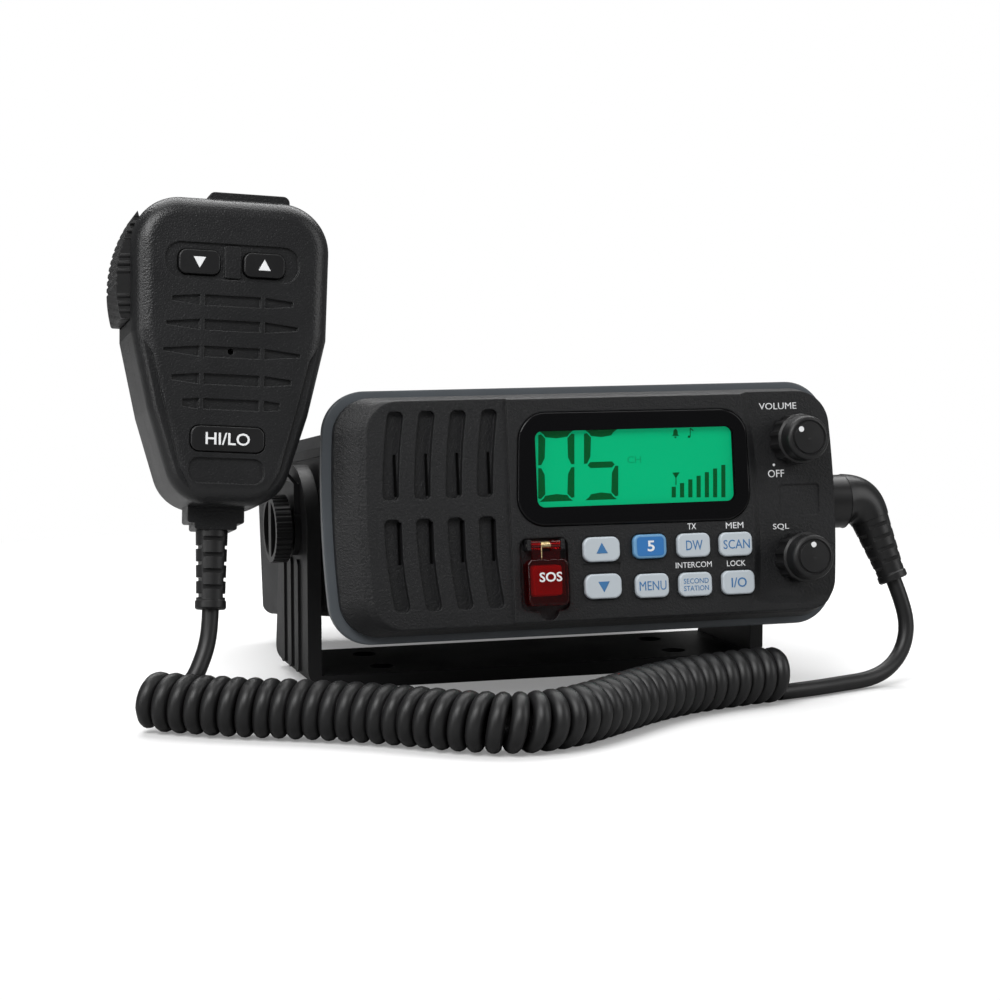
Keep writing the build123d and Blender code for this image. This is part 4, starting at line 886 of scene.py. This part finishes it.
def dress_nodes(frame: dict, axes: LeanedFrame) -> None:
    """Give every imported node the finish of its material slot.

    The display's window and the microphone's felt-faced capsule get one of their own.

    Args:
        frame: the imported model.
        axes: the radio's frame, in which the display's opening is measured.
    """
    slots = {part["node"]: part["material_slot"] for part in frame["record"]["subparts"]}
    pane = PaneFinish(
        "window_pane", (0.003, 0.003, 0.0035), 0.12, Texture.SMOOTH, 12.0, 0.004, wear=0.04, specular=0.2,
        rim=0.3, axes=axes,
    )
    own = {"display_window": pane, "mic_capsule": SLOT_FINISHES["speaker_cloth"]}
    for name, piece in frame["nodes"].items():
        finish = own.get(name) or SLOT_FINISHES[slots[name]]
        material = finish.material()
        piece.data.materials.clear()
        piece.data.materials.append(material)
        LOG.info("node %s: %s", name, finish.name)


# ------------------------------------------------------------------ cords
def spline_points(name: str, route: Sequence[Triple]) -> np.ndarray:
    """Points on a quadratic NURBS spline.

    Args:
        name: name for the curve.
        route: its control points, in millimetres in the shared frame.

    Returns:
        Rows of points, in metres.
    """
    curve = bpy.data.curves.new(name, "CURVE")
    curve.dimensions = "3D"
    curve.resolution_u = CURVE_STEPS
    spline = curve.splines.new("NURBS")
    spline.points.add(len(route) - 1)
    for point, spot in zip(spline.points, route):
        point.co = (*(part * MM for part in spot), 1.0)
    spline.order_u = 3
    spline.use_endpoint_u = True
    return meshed_curve(curve)[0]


def even_points(points: np.ndarray, gap: float) -> np.ndarray:
    """The same line with points an even distance apart.

    The new points are read off the straight pieces between the old ones, by distance gone.

    Args:
        points: rows of points.
        gap: about how far apart the new points are.

    Returns:
        Rows of points.
    """
    steps = np.linalg.norm(np.diff(points, axis=0), axis=1)
    along = np.concatenate(([0.0], np.cumsum(steps)))
    count = max(2, int(round(along[-1] / gap)) + 1)
    wanted = np.linspace(0.0, along[-1], count)
    return np.stack([np.interp(wanted, along, points[:, axis]) for axis in range(3)], -1)


def eased_line(points: np.ndarray, first: int, last: int, rounds: int) -> np.ndarray:
    """The same line with its bends spread out over one stretch.

    Each round moves every point of the stretch half of the way to the middle of its two neighbours.

    Args:
        points: rows of points, an even distance apart.
        first: number of the first point that may move.
        last: number of the point after the last that may move.
        rounds: how often this is done.

    Returns:
        Rows of points.
    """
    line = points.copy()
    for _ in range(rounds):
        middle = (line[first - 1:last - 1] + line[first + 1:last + 1]) / 2
        line[first:last] = (line[first:last] + middle) / 2
    return line


def bridge(
    start: np.ndarray, leaving: np.ndarray, end: np.ndarray, arriving: np.ndarray, pull: float,
    steps: int = 12,
) -> np.ndarray:
    """Points on a cubic Bezier curve that joins two lines smoothly.

    Its inner control points stand a pull ahead of the start and a pull before the end.

    Args:
        start: first point.
        leaving: unit direction at the start.
        end: last point.
        arriving: unit direction at the end.
        pull: distance of the inner control points.
        steps: how many points.

    Returns:
        Rows of points, without the last.
    """
    share = np.linspace(0.0, 1.0, steps, endpoint=False)[:, None]
    rest = 1 - share
    near, far = start + pull * leaving, end - pull * arriving
    return rest ** 3 * start + 3 * rest ** 2 * share * near + 3 * rest * share ** 2 * far + share ** 3 * end


def line_length(points: np.ndarray) -> float:
    """Length of a line of points."""
    return float(np.linalg.norm(np.diff(points, axis=0), axis=1).sum())


@dataclass
class Cords:
    """The plain lead from the plug, and the curly cord that rises to the microphone.

    Sizes are in millimetres. Routes repeat the source's points.

    Attributes:
        radius: radius of the cord itself.
        coil_radius: radius of the winding, to the cord's middle.
        turns: turns of the winding.
        around: points on each ring of the cord.
        per_turn: points of the centreline on each turn.
        lead_gap: distance of the centreline's points on the plain lead.
        gap: the same on the curly cord.
        run_in: points of the winding that the run into it takes the place of.
        run_in_pull: how far the run into the winding keeps its direction at each end.
        run_out: points of the winding that ease into the rise.
        rounds: how often the two places are eased.
        lying_height: height of the plain lead's middle where it starts to lie. Not used.
        stretch: the foot and the top of the stretch that gives way when the microphone lifts, in metres. Not
            used.
        lead_route: control points of the plain lead.
        coil_route: control points of the winding's axis, seen from above.
        coil_height: height of the winding's axis.
        rise_route: control points of the rise to the microphone.
    """

    radius: float = 2.6
    coil_radius: float = 6.5
    turns: float = 45.0
    around: int = 14
    per_turn: int = 28
    lead_gap: float = 1.2
    gap: float = 1.35
    run_in: int = 9
    run_in_pull: float = 3.8
    run_out: int = 6
    rounds: int = 8
    lying_height: float = 5.0
    stretch: tuple[Triple, Triple] = ((-0.1226, -0.072, 0.020), (-0.1226, -0.072, 0.035))
    lead_route: tuple[Triple, ...] = (
        (110.628, -62.7796, 33.6903), (113.02, -64.81, 26.33), (114.2, -66.3, 18.1), (111.5, -68.2, 10.5),
        (105.5, -70.3, 5.0), (97.2, -73.0, 2.75), (86.5, -76.9, 2.75), (72.6, -82.35, 2.75),
        (60.0, -85.5, 2.75),
    )
    coil_route: tuple[Pair, ...] = (
        (60, -85.5), (32, -92.5), (9, -105), (-10, -121), (-28, -134.5), (-45, -137.5), (-60, -128),
        (-77, -112), (-99, -98), (-122, -87), (-139.5, -72.5),
    )
    coil_height: float = 9.1
    rise_route: tuple[Triple, ...] = (
        (-139.0, -66.5, 12.5), (-133.0, -69.5, 12.0), (-128.4, -77.5, 13.2), (-124.6, -74.0, 19.5),
        (-121.02, -70.96, 27.19), (-120.423, -69.1756, 35.5846),
    )

    def plug_lead(self) -> bpy.types.Object:
        """The plain lead from the plug's boot to the curly stretch.

        Returns:
            The new piece.
        """
        path = even_points(spline_points("plug_lead_line", self.lead_route), self.lead_gap * MM)
        finish = SLOT_FINISHES["cord_rubber"].material()
        piece = make_piece("plug_lead", swept_tube(path, self.radius * MM, self.around), finish)
        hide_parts("cord_plug_lead")
        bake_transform(piece)
        return piece

    def helix(self) -> np.ndarray:
        """Centreline of the curly stretch.

        The point is the coil's axis plus R(cos a) along the axis's side and R(sin a) up, where
        the angle a grows with the share of the length gone. It starts at the bottom.

        Returns:
            Rows of points, in metres.
        """
        axis = spline_points("coil_line", [(x, y, self.coil_height) for x, y in self.coil_route])
        axis = even_points(axis, line_length(axis) / (self.turns * self.per_turn))
        along = np.gradient(axis, axis=0)
        along /= np.linalg.norm(along, axis=1, keepdims=True)
        up = np.array((0.0, 0.0, 1.0))
        side = np.cross(along, up)
        share = np.linspace(0.0, 1.0, len(axis))
        angle = -math.pi / 2 + 2 * math.pi * self.turns * share
        reach = self.coil_radius * MM
        return axis + reach * (np.cos(angle)[:, None] * side + np.sin(angle)[:, None] * up)

    def curly_path(self, lead: np.ndarray) -> np.ndarray:
        """Centreline of the curly stretch and of the lead that rises from it.

        A bridge joins the plain lead to the winding, and both ends of the winding are eased.

        Args:
            lead: the last points of the plain lead from the plug, whose end this line continues.

        Returns:
            Rows of points, in metres.
        """
        coil = self.helix()
        rise = spline_points("rise_line", [tuple(coil[-1] / MM), *self.rise_route])
        heading = (lead[-1] - lead[-2]) / np.linalg.norm(lead[-1] - lead[-2])
        rest = coil[self.run_in:]
        turn = (rest[1] - rest[0]) / np.linalg.norm(rest[1] - rest[0])
        wound = np.vstack((bridge(lead[-1], heading, rest[0], turn, self.run_in_pull * MM), rest))
        wound_points = int(line_length(wound) / (self.gap * MM))
        path = even_points(np.vstack((wound, rise[1:])), self.gap * MM)
        path = eased_line(path, 1, 2 * self.run_in, self.rounds)
        return eased_line(path, wound_points - self.run_out, len(path) - 1, self.rounds)

    def curly_cord(self, lead: np.ndarray) -> bpy.types.Object:
        """The curly stretch and the plain lead that rises from its far end to the microphone.

        Args:
            lead: the last points of the plain lead from the plug.

        Returns:
            The new piece.
        """
        path = self.curly_path(lead)
        finish = SLOT_FINISHES["cord_rubber"].material()
        piece = make_piece("curly_cord", swept_tube(path, self.radius * MM, self.around), finish)
        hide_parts("cord_coil", "cord_mic_lead")
        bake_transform(piece)
        return piece

    def build(self) -> None:
        """Make both pieces."""
        self.plug_lead()
        self.curly_cord(np.array(self.lead_route[-2:]) * MM)


# ------------------------------------------------------------------ display
BELL = (
    (27.0, 22.3), (27.5, 22.7), (27.6, 23.9), (28.1, 24.5),
    (28.5, 24.5), (29.0, 23.9), (29.1, 22.7), (29.6, 22.3),
)
CLAPPER = ((27.9, 22.1), (28.7, 22.1), (28.5, 21.6), (28.1, 21.6))
STEM = ((33.2, 22.0), (33.45, 22.0), (33.45, 24.3), (34.4, 23.6), (34.4, 24.0), (33.45, 24.7), (33.2, 24.7))
NOTE_HEAD = ((32.5, 21.7), (33.1, 21.5), (33.4, 21.9), (33.1, 22.3), (32.6, 22.3))
MAST = ((28.3, 6.7), (28.6, 6.7), (28.6, 10.6), (28.3, 10.6))
AERIAL = ((27.2, 10.7), (29.7, 10.7), (28.6, 9.0), (28.3, 9.0))


@dataclass(frozen=True)
class Display:
    """Lit segments, symbols and bars on the liquid crystal panel. Millimetres, in the radio's frame.

    Attributes:
        frame: the radio's frame.
        front: depth of the shapes' front faces.
        thick: thickness of the shapes.
        slant: how far they lean to the right for each millimetre up.
        digit_high: height of a digit.
        digit_foot: height of a digit's foot.
        tens: left edge and width of the first digit.
        ones: left edge and width of the second digit.
        segment: width of a segment.
        gap: half the gap between two segments.
        bar_count: how many signal bars.
        bar_left: left edge of the first bar.
        bar_step: distance from bar to bar.
        bar_width: width of a bar.
        bar_foot: height of the first bar's foot.
        bar_top: height of the first bar's top.
        bar_rise: how much higher each bar's top is.
        bar_drop: how much lower each bar's foot is.
    """

    frame: LeanedFrame
    front: float = -7.26
    thick: float = 0.1
    slant: float = 0.045
    digit_high: float = 22.0
    digit_foot: float = 2.9
    tens: Pair = (-17.5, 11.9)
    ones: Pair = (-2.4, 11.4)
    segment: float = 2.3
    gap: float = 0.45
    bar_count: int = 7
    bar_left: float = 27.0
    bar_step: float = 2.82
    bar_width: float = 1.4
    bar_foot: float = 2.8
    bar_top: float = 6.2
    bar_rise: float = 1.07
    bar_drop: float = 0.09

    def shape(self, corners: Sequence[Pair] | np.ndarray) -> Surface:
        """A thin flat shape in front of the panel.

        Args:
            corners: outline as (x, z) pairs, leaning with the digits.

        Returns:
            The shape.
        """
        outline = np.array(corners, float)
        outline[:, 0] += self.slant * (outline[:, 1] - self.digit_foot)
        middle = outline.mean(0)
        return flat_plate(outline - middle, tuple(middle), self.front + self.thick, self.front)

    def segments(self, width: float) -> dict[str, np.ndarray]:
        """Outlines of a digit's seven tapered segments about its middle.

        The bar across the top, the one across the middle and the upright one at the upper left
        are drawn. The others are the same outlines turned over.

        Args:
            width: the digit's width.

        Returns:
            Rows of (x, z) for each of the usual letters a to g.
        """
        side, top, thick, gap = width / 2, self.digit_high / 2, self.segment, self.gap
        across = np.array((
            (gap - side, top), (gap + 1.3 - side, top - 1.0), (thick - side, top - 0.8 * thick),
            (0.0, top - thick),
            (side - thick, top - 0.8 * thick), (side - gap - 1.3, top - 1.0), (side - gap, top),
        ))
        upright = np.array((
            (-side, gap), (1.0 - side, 0.5), (thick - 0.2 - side, 2.6),
            (thick - side, top - thick), (0.9 - side, top - 0.9), (-side, top - 1.1),
        ))
        end, shoulder, half = side - 1.2, side - 2.1, 0.95
        middle = np.array((
            (-end, 0.0), (-shoulder, half), (shoulder, half),
            (end, 0.0), (shoulder, -half), (-shoulder, -half),
        ))
        over, aside = np.array((1.0, -1.0)), np.array((-1.0, 1.0))
        return {
            "a": across, "b": upright * aside, "c": upright * aside * over, "d": across * over,
            "e": upright * over, "f": upright, "g": middle,
        }

    def digit(self, place: Pair, lit: str) -> Surface:
        """One seven-segment digit.

        Args:
            place: its left edge at the foot, and its width.
            lit: the letters of the lit segments.

        Returns:
            The lit segments.
        """
        left, width = place
        middle = np.array((left + width / 2, self.digit_foot + self.digit_high / 2))
        outlines = self.segments(width)
        return joined([self.shape(outlines[name] + middle) for name in lit])

    def bars(self) -> Surface:
        """Signal bars, each a step further right, higher at its top and a hair lower at its foot.

        Returns:
            The bars.
        """
        shapes = []
        for number in range(self.bar_count):
            left = self.bar_left + self.bar_step * number
            right = left + self.bar_width
            top = self.bar_top + self.bar_rise * number
            foot = self.bar_foot - self.bar_drop * number
            shapes.append(self.shape(((left, foot), (right, foot), (right, top), (left, top))))
        return joined(shapes)

    def symbols(self) -> Surface:
        """A bell, a note and a small aerial."""
        return joined([self.shape(corners) for corners in (BELL, CLAPPER, STEM, NOTE_HEAD, MAST, AERIAL)])

    def build(self) -> None:
        """The segments as one piece on the panel, and fainter unlit letters."""
        digits = self.digit(self.tens, "abcdef") + self.digit(self.ones, "acdfg")
        lit = digits + self.bars() + self.symbols()
        piece = make_piece("lcd_segments", lit.placed(self.frame), SEGMENT.material(), smooth=False)
        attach(piece, "radio")
        word = Lettering("CH", (14.9, 15.2), 2.2, 4.6).surface(self.front, self.thick)
        piece = make_piece("lcd_faint_word", word.placed(self.frame), FAINT.material(), smooth=False)
        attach(piece, "radio")


# ------------------------------------------------------------------ printing
Mark = tuple[tuple[Pair, ...], Pair]


@dataclass(frozen=True)
class Print:
    """Lettering or a mark on one surface.

    Attributes:
        name: object name.
        body: the body that carries it.
        slot: material slot of what carries it. Not used.
        front: depth of the surface it is printed on.
        finish: the ink.
        words: the lettering.
        marks: outlines of plain marks, each with its middle.
        proud: how far it stands out of the surface.
        sunk: how far it reaches into the surface.
    """

    name: str
    body: str
    slot: str
    front: float
    finish: Finish
    words: tuple[Lettering, ...] = ()
    marks: tuple[Mark, ...] = ()
    proud: float = 0.05
    sunk: float = 0.03

    def build(self, frame: LeanedFrame) -> bpy.types.Object:
        """Make the print a hair proud of its surface.

        Args:
            frame: frame of the sub-assembly that it is on.

        Returns:
            The new piece.
        """
        top, foot = self.front - self.proud, self.front + self.sunk
        shapes = [word.surface(top, self.proud + self.sunk) for word in self.words]
        for outline, middle in self.marks:
            shapes.append(flat_plate(np.array(outline, float), middle, foot, top))
        piece = make_piece(self.name, joined(shapes).placed(frame), self.finish.material(), smooth=False)
        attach(piece, self.body)
        return piece


def outline_pairs(outline: np.ndarray) -> tuple[Pair, ...]:
    """An outline's points as a tuple of pairs."""
    return tuple(tuple(point) for point in outline)


UP_MARK = ((-1.9, -1.5), (1.9, -1.5), (0.0, 1.9))
DOWN_MARK = ((-1.9, 1.5), (0.0, -1.9), (1.9, 1.5))
CONTROL_DOT = outline_pairs(circle_outline(0.9, 20))
FIELD_DOT = outline_pairs(circle_outline(0.42, 20))
CHANNEL_PATCH = outline_pairs(rounded_outline((4.5, 3.0), 1.1))
CONTROL_FRONT = -21.05
COVER_FRONT = -11.9
KEY_FRONT = -10.0
PATCH_FRONT = -10.03
FACE_FRONT = -8.5
FIELD_FRONT = -7.0
MIC_KEY_FRONT = -16.6


def blue_words(name: str, *words: Lettering, marks: tuple[Mark, ...] = ()) -> Print:
    """Blue print on a pale key."""
    return Print(f"{name}_print", name, "key_pale", KEY_FRONT, PRINT_BLUE, words, marks)


def control_dot(name: str, spot: Pair) -> Print:
    """White dot on the front of a turning control."""
    marks = ((CONTROL_DOT, spot),)
    return Print(f"{name}_dot", name, "control_rubber", CONTROL_FRONT, PRINT_WHITE, marks=marks)


def mic_print(name: str, key: str, *words: Lettering, marks: tuple[Mark, ...] = ()) -> Print:
    """White print on a key of the microphone."""
    return Print(name, key, "mic_key", MIC_KEY_FRONT, PRINT_WHITE, words, marks)


RADIO_PRINTS = (
    blue_words("key_up", marks=((UP_MARK, (1.9, -12.5)),)),
    blue_words("key_down", marks=((DOWN_MARK, (2.1, -24.3)),)),
    Print(
        "channel_patch", "key_channel", "key_blue", KEY_FRONT, PATCH_BLUE, (),
        ((CHANNEL_PATCH, (18.1, -12.4)),),
    ),
    Print(
        "channel_number", "key_channel", "key_blue", PATCH_FRONT, PRINT_WHITE,
        (Lettering("5", (18.3, -12.3), 3.4, 2.4, 0.02),),
    ),
    blue_words("key_dual_watch", Lettering("DW", (32.9, -12.6), 3.1, 5.6, 0.004)),
    blue_words("key_scan", Lettering("SCAN", (47.3, -12.8), 2.9, 9.0, 0.004)),
    blue_words("key_menu", Lettering("MENU", (18.4, -24.8), 2.9, 9.0)),
    blue_words(
        "key_station",
        Lettering("SECOND", (33.0, -23.9), 1.6, 8.4), Lettering("STATION", (33.0, -26.2), 1.6, 8.4),
    ),
    blue_words("key_power", Lettering("I/O", (47.6, -25.0), 3.1, 5.2, 0.01)),
    Print(
        "face_print", "radio", "panel_plastic", FACE_FRONT, PRINT_WHITE,
        (
            Lettering("TX", (32.9, -6.6), 1.9, 2.9, 0.004), Lettering("MEM", (47.5, -6.8), 1.9, 6.0),
            Lettering("INTERCOM", (33.0, -18.8), 1.8, 12.2),
            Lettering("LOCK", (47.5, -18.9), 1.8, 6.4, 0.004),
        ),
    ),
    Print(
        "field_print", "radio", "panel_plastic", FIELD_FRONT, PRINT_WHITE,
        (
            Lettering("VOLUME", (64.8, 31.0), 2.1, 13.0), Lettering("OFF", (63.2, 9.3), 2.4, 5.6),
            Lettering("SQL", (64.1, -7.9), 2.1, 5.6, 0.004),
        ),
        ((FIELD_DOT, (62.6, 12.1)),),
    ),
    control_dot("volume", (66.6, 22.7)),
    control_dot("squelch", (69.1, -14.0)),
    Print(
        "sos_print", "sos_cover", "cover_red", COVER_FRONT, PRINT_WHITE,
        (Lettering("SOS", (-15.9, -20.6), 3.0, 7.4, 0.02),),
    ),
)
MIC_PRINTS = (
    mic_print("mic_down_mark", "mic_key_down", marks=((DOWN_MARK, (-10.4, 25.4)),)),
    mic_print("mic_up_mark", "mic_key_up", marks=((UP_MARK, (9.4, 25.3)),)),
    mic_print("mic_power_print", "mic_key_power", Lettering("HI/LO", (-1.0, -27.9), 3.7, 13.4, 0.012)),
)


@dataclass(frozen=True)
class CoverSpring:
    """Torsion spring around the emergency cover's pin. Millimetres, in the radio's frame.

    Attributes:
        left: x of the last coil and of the leg.
        right: x of the first coil.
        depth: depth of the pin.
        height: z of the pin.
        coil: radius of the coils, to the wire's middle.
        wire: radius of the wire.
        turns: number of coils.
        per_turn: points on each coil.
        around: points around the wire.
        leg: z of the leg's end.
    """

    left: float = -18.25
    right: float = -15.15
    depth: float = -9.6
    height: float = -10.6
    coil: float = 1.05
    wire: float = 0.2
    turns: int = 7
    per_turn: int = 20
    around: int = 8
    leg: float = -14.8

    def build(self, frame: LeanedFrame) -> bpy.types.Object:
        """The coils and the straight leg that bears on the cover.

        Point i is (x, R cos a, R sin a) about the pin, with x and the angle a growing evenly.

        Args:
            frame: the radio's frame.

        Returns:
            The new piece.
        """
        share = np.linspace(0.0, 1.0, self.turns * self.per_turn + 1)
        angle = math.pi + 2 * math.pi * self.turns * share
        along = self.right + (self.left - self.right) * share
        deep = self.depth + self.coil * np.cos(angle)
        high = self.height + self.coil * np.sin(angle)
        foot = (self.left, self.depth - self.coil, self.leg)
        wire = swept_tube(np.vstack((np.stack((along, deep, high), -1), foot)), self.wire, self.around)
        piece = make_piece("sos_spring_wire", wire.placed(frame), SLOT_FINISHES["brass_wire"].material())
        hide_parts("sos_spring")
        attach(piece, "sos_cover")
        return piece


# ------------------------------------------------------------------ camera and light
@dataclass(frozen=True)
class Lamp:
    """One soft rectangular lamp.

    Attributes:
        name: object name.
        at: its place, in metres.
        aim: the point it faces.
        size: its width and height.
        power: in watts.
    """

    name: str
    at: Triple
    aim: Triple
    size: Pair
    power: float

    def build(self) -> bpy.types.Object:
        """Hang the lamp in its place and turn it to its aim.

        Returns:
            The lamp.
        """
        data = bpy.data.lights.new(self.name, "AREA")
        data.shape = "RECTANGLE"
        data.size, data.size_y = self.size
        data.energy = self.power
        lamp = bpy.data.objects.new(self.name, data)
        lamp.location = self.at
        lamp.rotation_euler = (Vector(self.aim) - Vector(self.at)).to_track_quat("-Z", "Y").to_euler()
        bpy.context.scene.collection.objects.link(lamp)
        return lamp


LAMPS = (
    Lamp("key_lamp", (-0.7, -0.9, 1.1), (-0.02, -0.03, 0.05), (0.9, 0.7), 16.5),
    Lamp("fill_lamp", (1.0, -0.7, 0.6), (0.0, -0.02, 0.05), (0.7, 0.9), 4.5),
    Lamp("top_lamp", (0.05, 0.25, 1.3), (0.0, 0.0, 0.0), (1.4, 0.9), 12.0),
    Lamp("left_strip", (-1.1, -0.45, 0.40), (-0.05, -0.03, 0.09), (0.22, 0.9), 3.0),
    Lamp("rim_strip", (0.15, 0.60, 0.85), (0.0, -0.03, 0.09), (1.4, 0.2), 6.0),
)


@dataclass(frozen=True)
class Studio:
    """Camera, pale surroundings, floor and soft lamps. Lengths are in metres.

    Attributes:
        camera_at: the camera's place.
        camera_turn: its turn about each axis, in degrees.
        lens: focal length, in millimetres.
        sensor: sensor width, in millimetres.
        nearest: how close the camera still sees.
        surroundings: strength of the light from all around.
        floor_half: half the floor's width.
        floor_drop: how far the floor lies under the set.
        floor_shown: the floor's colour to the camera.
        floor_given: the floor's colour in the light it throws back.
        fade: the distances at which the floor starts to turn plain white and has done so.
        fade_start: share of plain white nearer than that.
    """

    camera_at: Triple = (-0.26608, -0.84067, 0.15997)
    camera_turn: Triple = (83.357, 0.0, -17.13)
    lens: float = 93.47
    sensor: float = 36.0
    nearest: float = 0.01
    surroundings: float = 0.16
    floor_half: float = 3.0
    floor_drop: float = 0.0002
    floor_shown: float = 0.92
    floor_given: float = 0.34
    fade: Pair = (0.20, 0.40)
    fade_start: float = 0.2

    def camera(self) -> None:
        """Aim the camera."""
        data = bpy.data.cameras.new("camera")
        data.lens = self.lens
        data.sensor_width = self.sensor
        data.clip_start = self.nearest
        camera = bpy.data.objects.new("camera", data)
        camera.location = self.camera_at
        camera.rotation_euler = tuple(math.radians(angle) for angle in self.camera_turn)
        bpy.context.scene.collection.objects.link(camera)
        bpy.context.scene.camera = camera

    def world(self) -> None:
        """Plain soft grey light; white to the camera and through clear pieces."""
        world = bpy.data.worlds.new("studio")
        bpy.context.scene.world = world
        world.use_nodes = True
        world.node_tree.nodes.clear()
        graph = Graph(world.node_tree)
        rays = graph.add("ShaderNodeLightPath").outputs
        seen = graph.math("MAXIMUM", rays["Is Camera Ray"], rays["Is Transmission Ray"])
        level = graph.add("ShaderNodeMapRange", {"Value": seen, "To Min": self.surroundings, "To Max": 1.0})
        back = graph.add("ShaderNodeBackground", {"Color": WHITE, "Strength": level.outputs[0]})
        graph.add("ShaderNodeOutputWorld", {"Surface": back.outputs[0]})

    def floor_finish(self) -> bpy.types.Material:
        """White that shows only the soft shadow: matt near the set, plain white further out.

        Returns:
            The material.
        """
        material = bpy.data.materials.new("floor_white")
        material.use_nodes = True
        material.node_tree.nodes.clear()
        graph = Graph(material.node_tree)
        spot = graph.add("ShaderNodeTexCoord").outputs["Object"]
        far = graph.add("ShaderNodeVectorMath", {0: spot}, operation="LENGTH").outputs["Value"]
        first, last = self.fade
        fade = graph.add(
            "ShaderNodeMapRange",
            {"Value": far, "From Min": first, "From Max": last, "To Min": self.fade_start},
        )
        seen = graph.add("ShaderNodeLightPath").outputs["Is Camera Ray"]
        lit = graph.add(
            "ShaderNodeMapRange", {"Value": seen, "To Min": self.floor_given, "To Max": self.floor_shown}
        )
        near = graph.add("ShaderNodeBsdfDiffuse", {"Color": lit.outputs[0]})
        white = graph.add("ShaderNodeEmission", {"Color": WHITE, "Strength": 1.0})
        share = graph.math("MULTIPLY", fade.outputs[0], seen)
        shade = graph.add("ShaderNodeMixShader", {0: share, 1: near.outputs[0], 2: white.outputs[0]})
        graph.add("ShaderNodeOutputMaterial", {"Surface": shade.outputs[0]})
        return material

    def floor(self) -> None:
        """Lay the floor under the set."""
        half = self.floor_half
        corners = [(-half, -half, 0.0), (half, -half, 0.0), (half, half, 0.0), (-half, half, 0.0)]
        mesh = bpy.data.meshes.new("floor")
        mesh.from_pydata(corners, [], [(0, 1, 2, 3)])
        mesh.materials.append(self.floor_finish())
        floor = bpy.data.objects.new("floor", mesh)
        floor.location = (0.0, 0.0, -self.floor_drop)
        bpy.context.scene.collection.objects.link(floor)
        floor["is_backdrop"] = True

    def build(self) -> None:
        """Camera, world, floor and lamps."""
        self.camera()
        self.world()
        self.floor()
        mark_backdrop(*(lamp.build() for lamp in LAMPS))


def save_size(label: str, sizes: dict) -> None:
    """Note the shown object's box under a label.

    Args:
        label: the box's name.
        sizes: the boxes noted so far.
    """
    low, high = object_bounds()
    sizes[label] = [list(low), list(high)]


VOLUME_SPOT = (69.3, -12.0, 19.9)  # the volume control's place in the radio's frame
LEVER_SPOT = (-28.0, 1.5, 9.6)  # the talk lever's hinge in the microphone's frame


def main() -> None:
    """Build the dressed set."""
    logging.basicConfig(level=logging.INFO, format="%(message)s")
    for old in list(bpy.data.objects):
        bpy.data.objects.remove(old)
    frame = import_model()
    sizes: dict = {}
    save_size("packed", sizes)
    bpy.context.scene.view_settings.view_transform = "Standard"
    Studio().build()
    radio = leaned_frame(frame, "volume_turn", VOLUME_SPOT, "volume_turn", "radio_tilt")
    microphone = leaned_frame(frame, "mic_ptt_press", LEVER_SPOT, "mic_ptt_press", "mic_lift")
    dress_nodes(frame, radio)
    Display(radio).build()
    for mark in RADIO_PRINTS:
        mark.build(radio)
    for mark in MIC_PRINTS:
        mark.build(microphone)
    CoverSpring().build(radio)
    Cords().build()
    save_size("dressed", sizes)


if __name__ == "__main__":
    main()
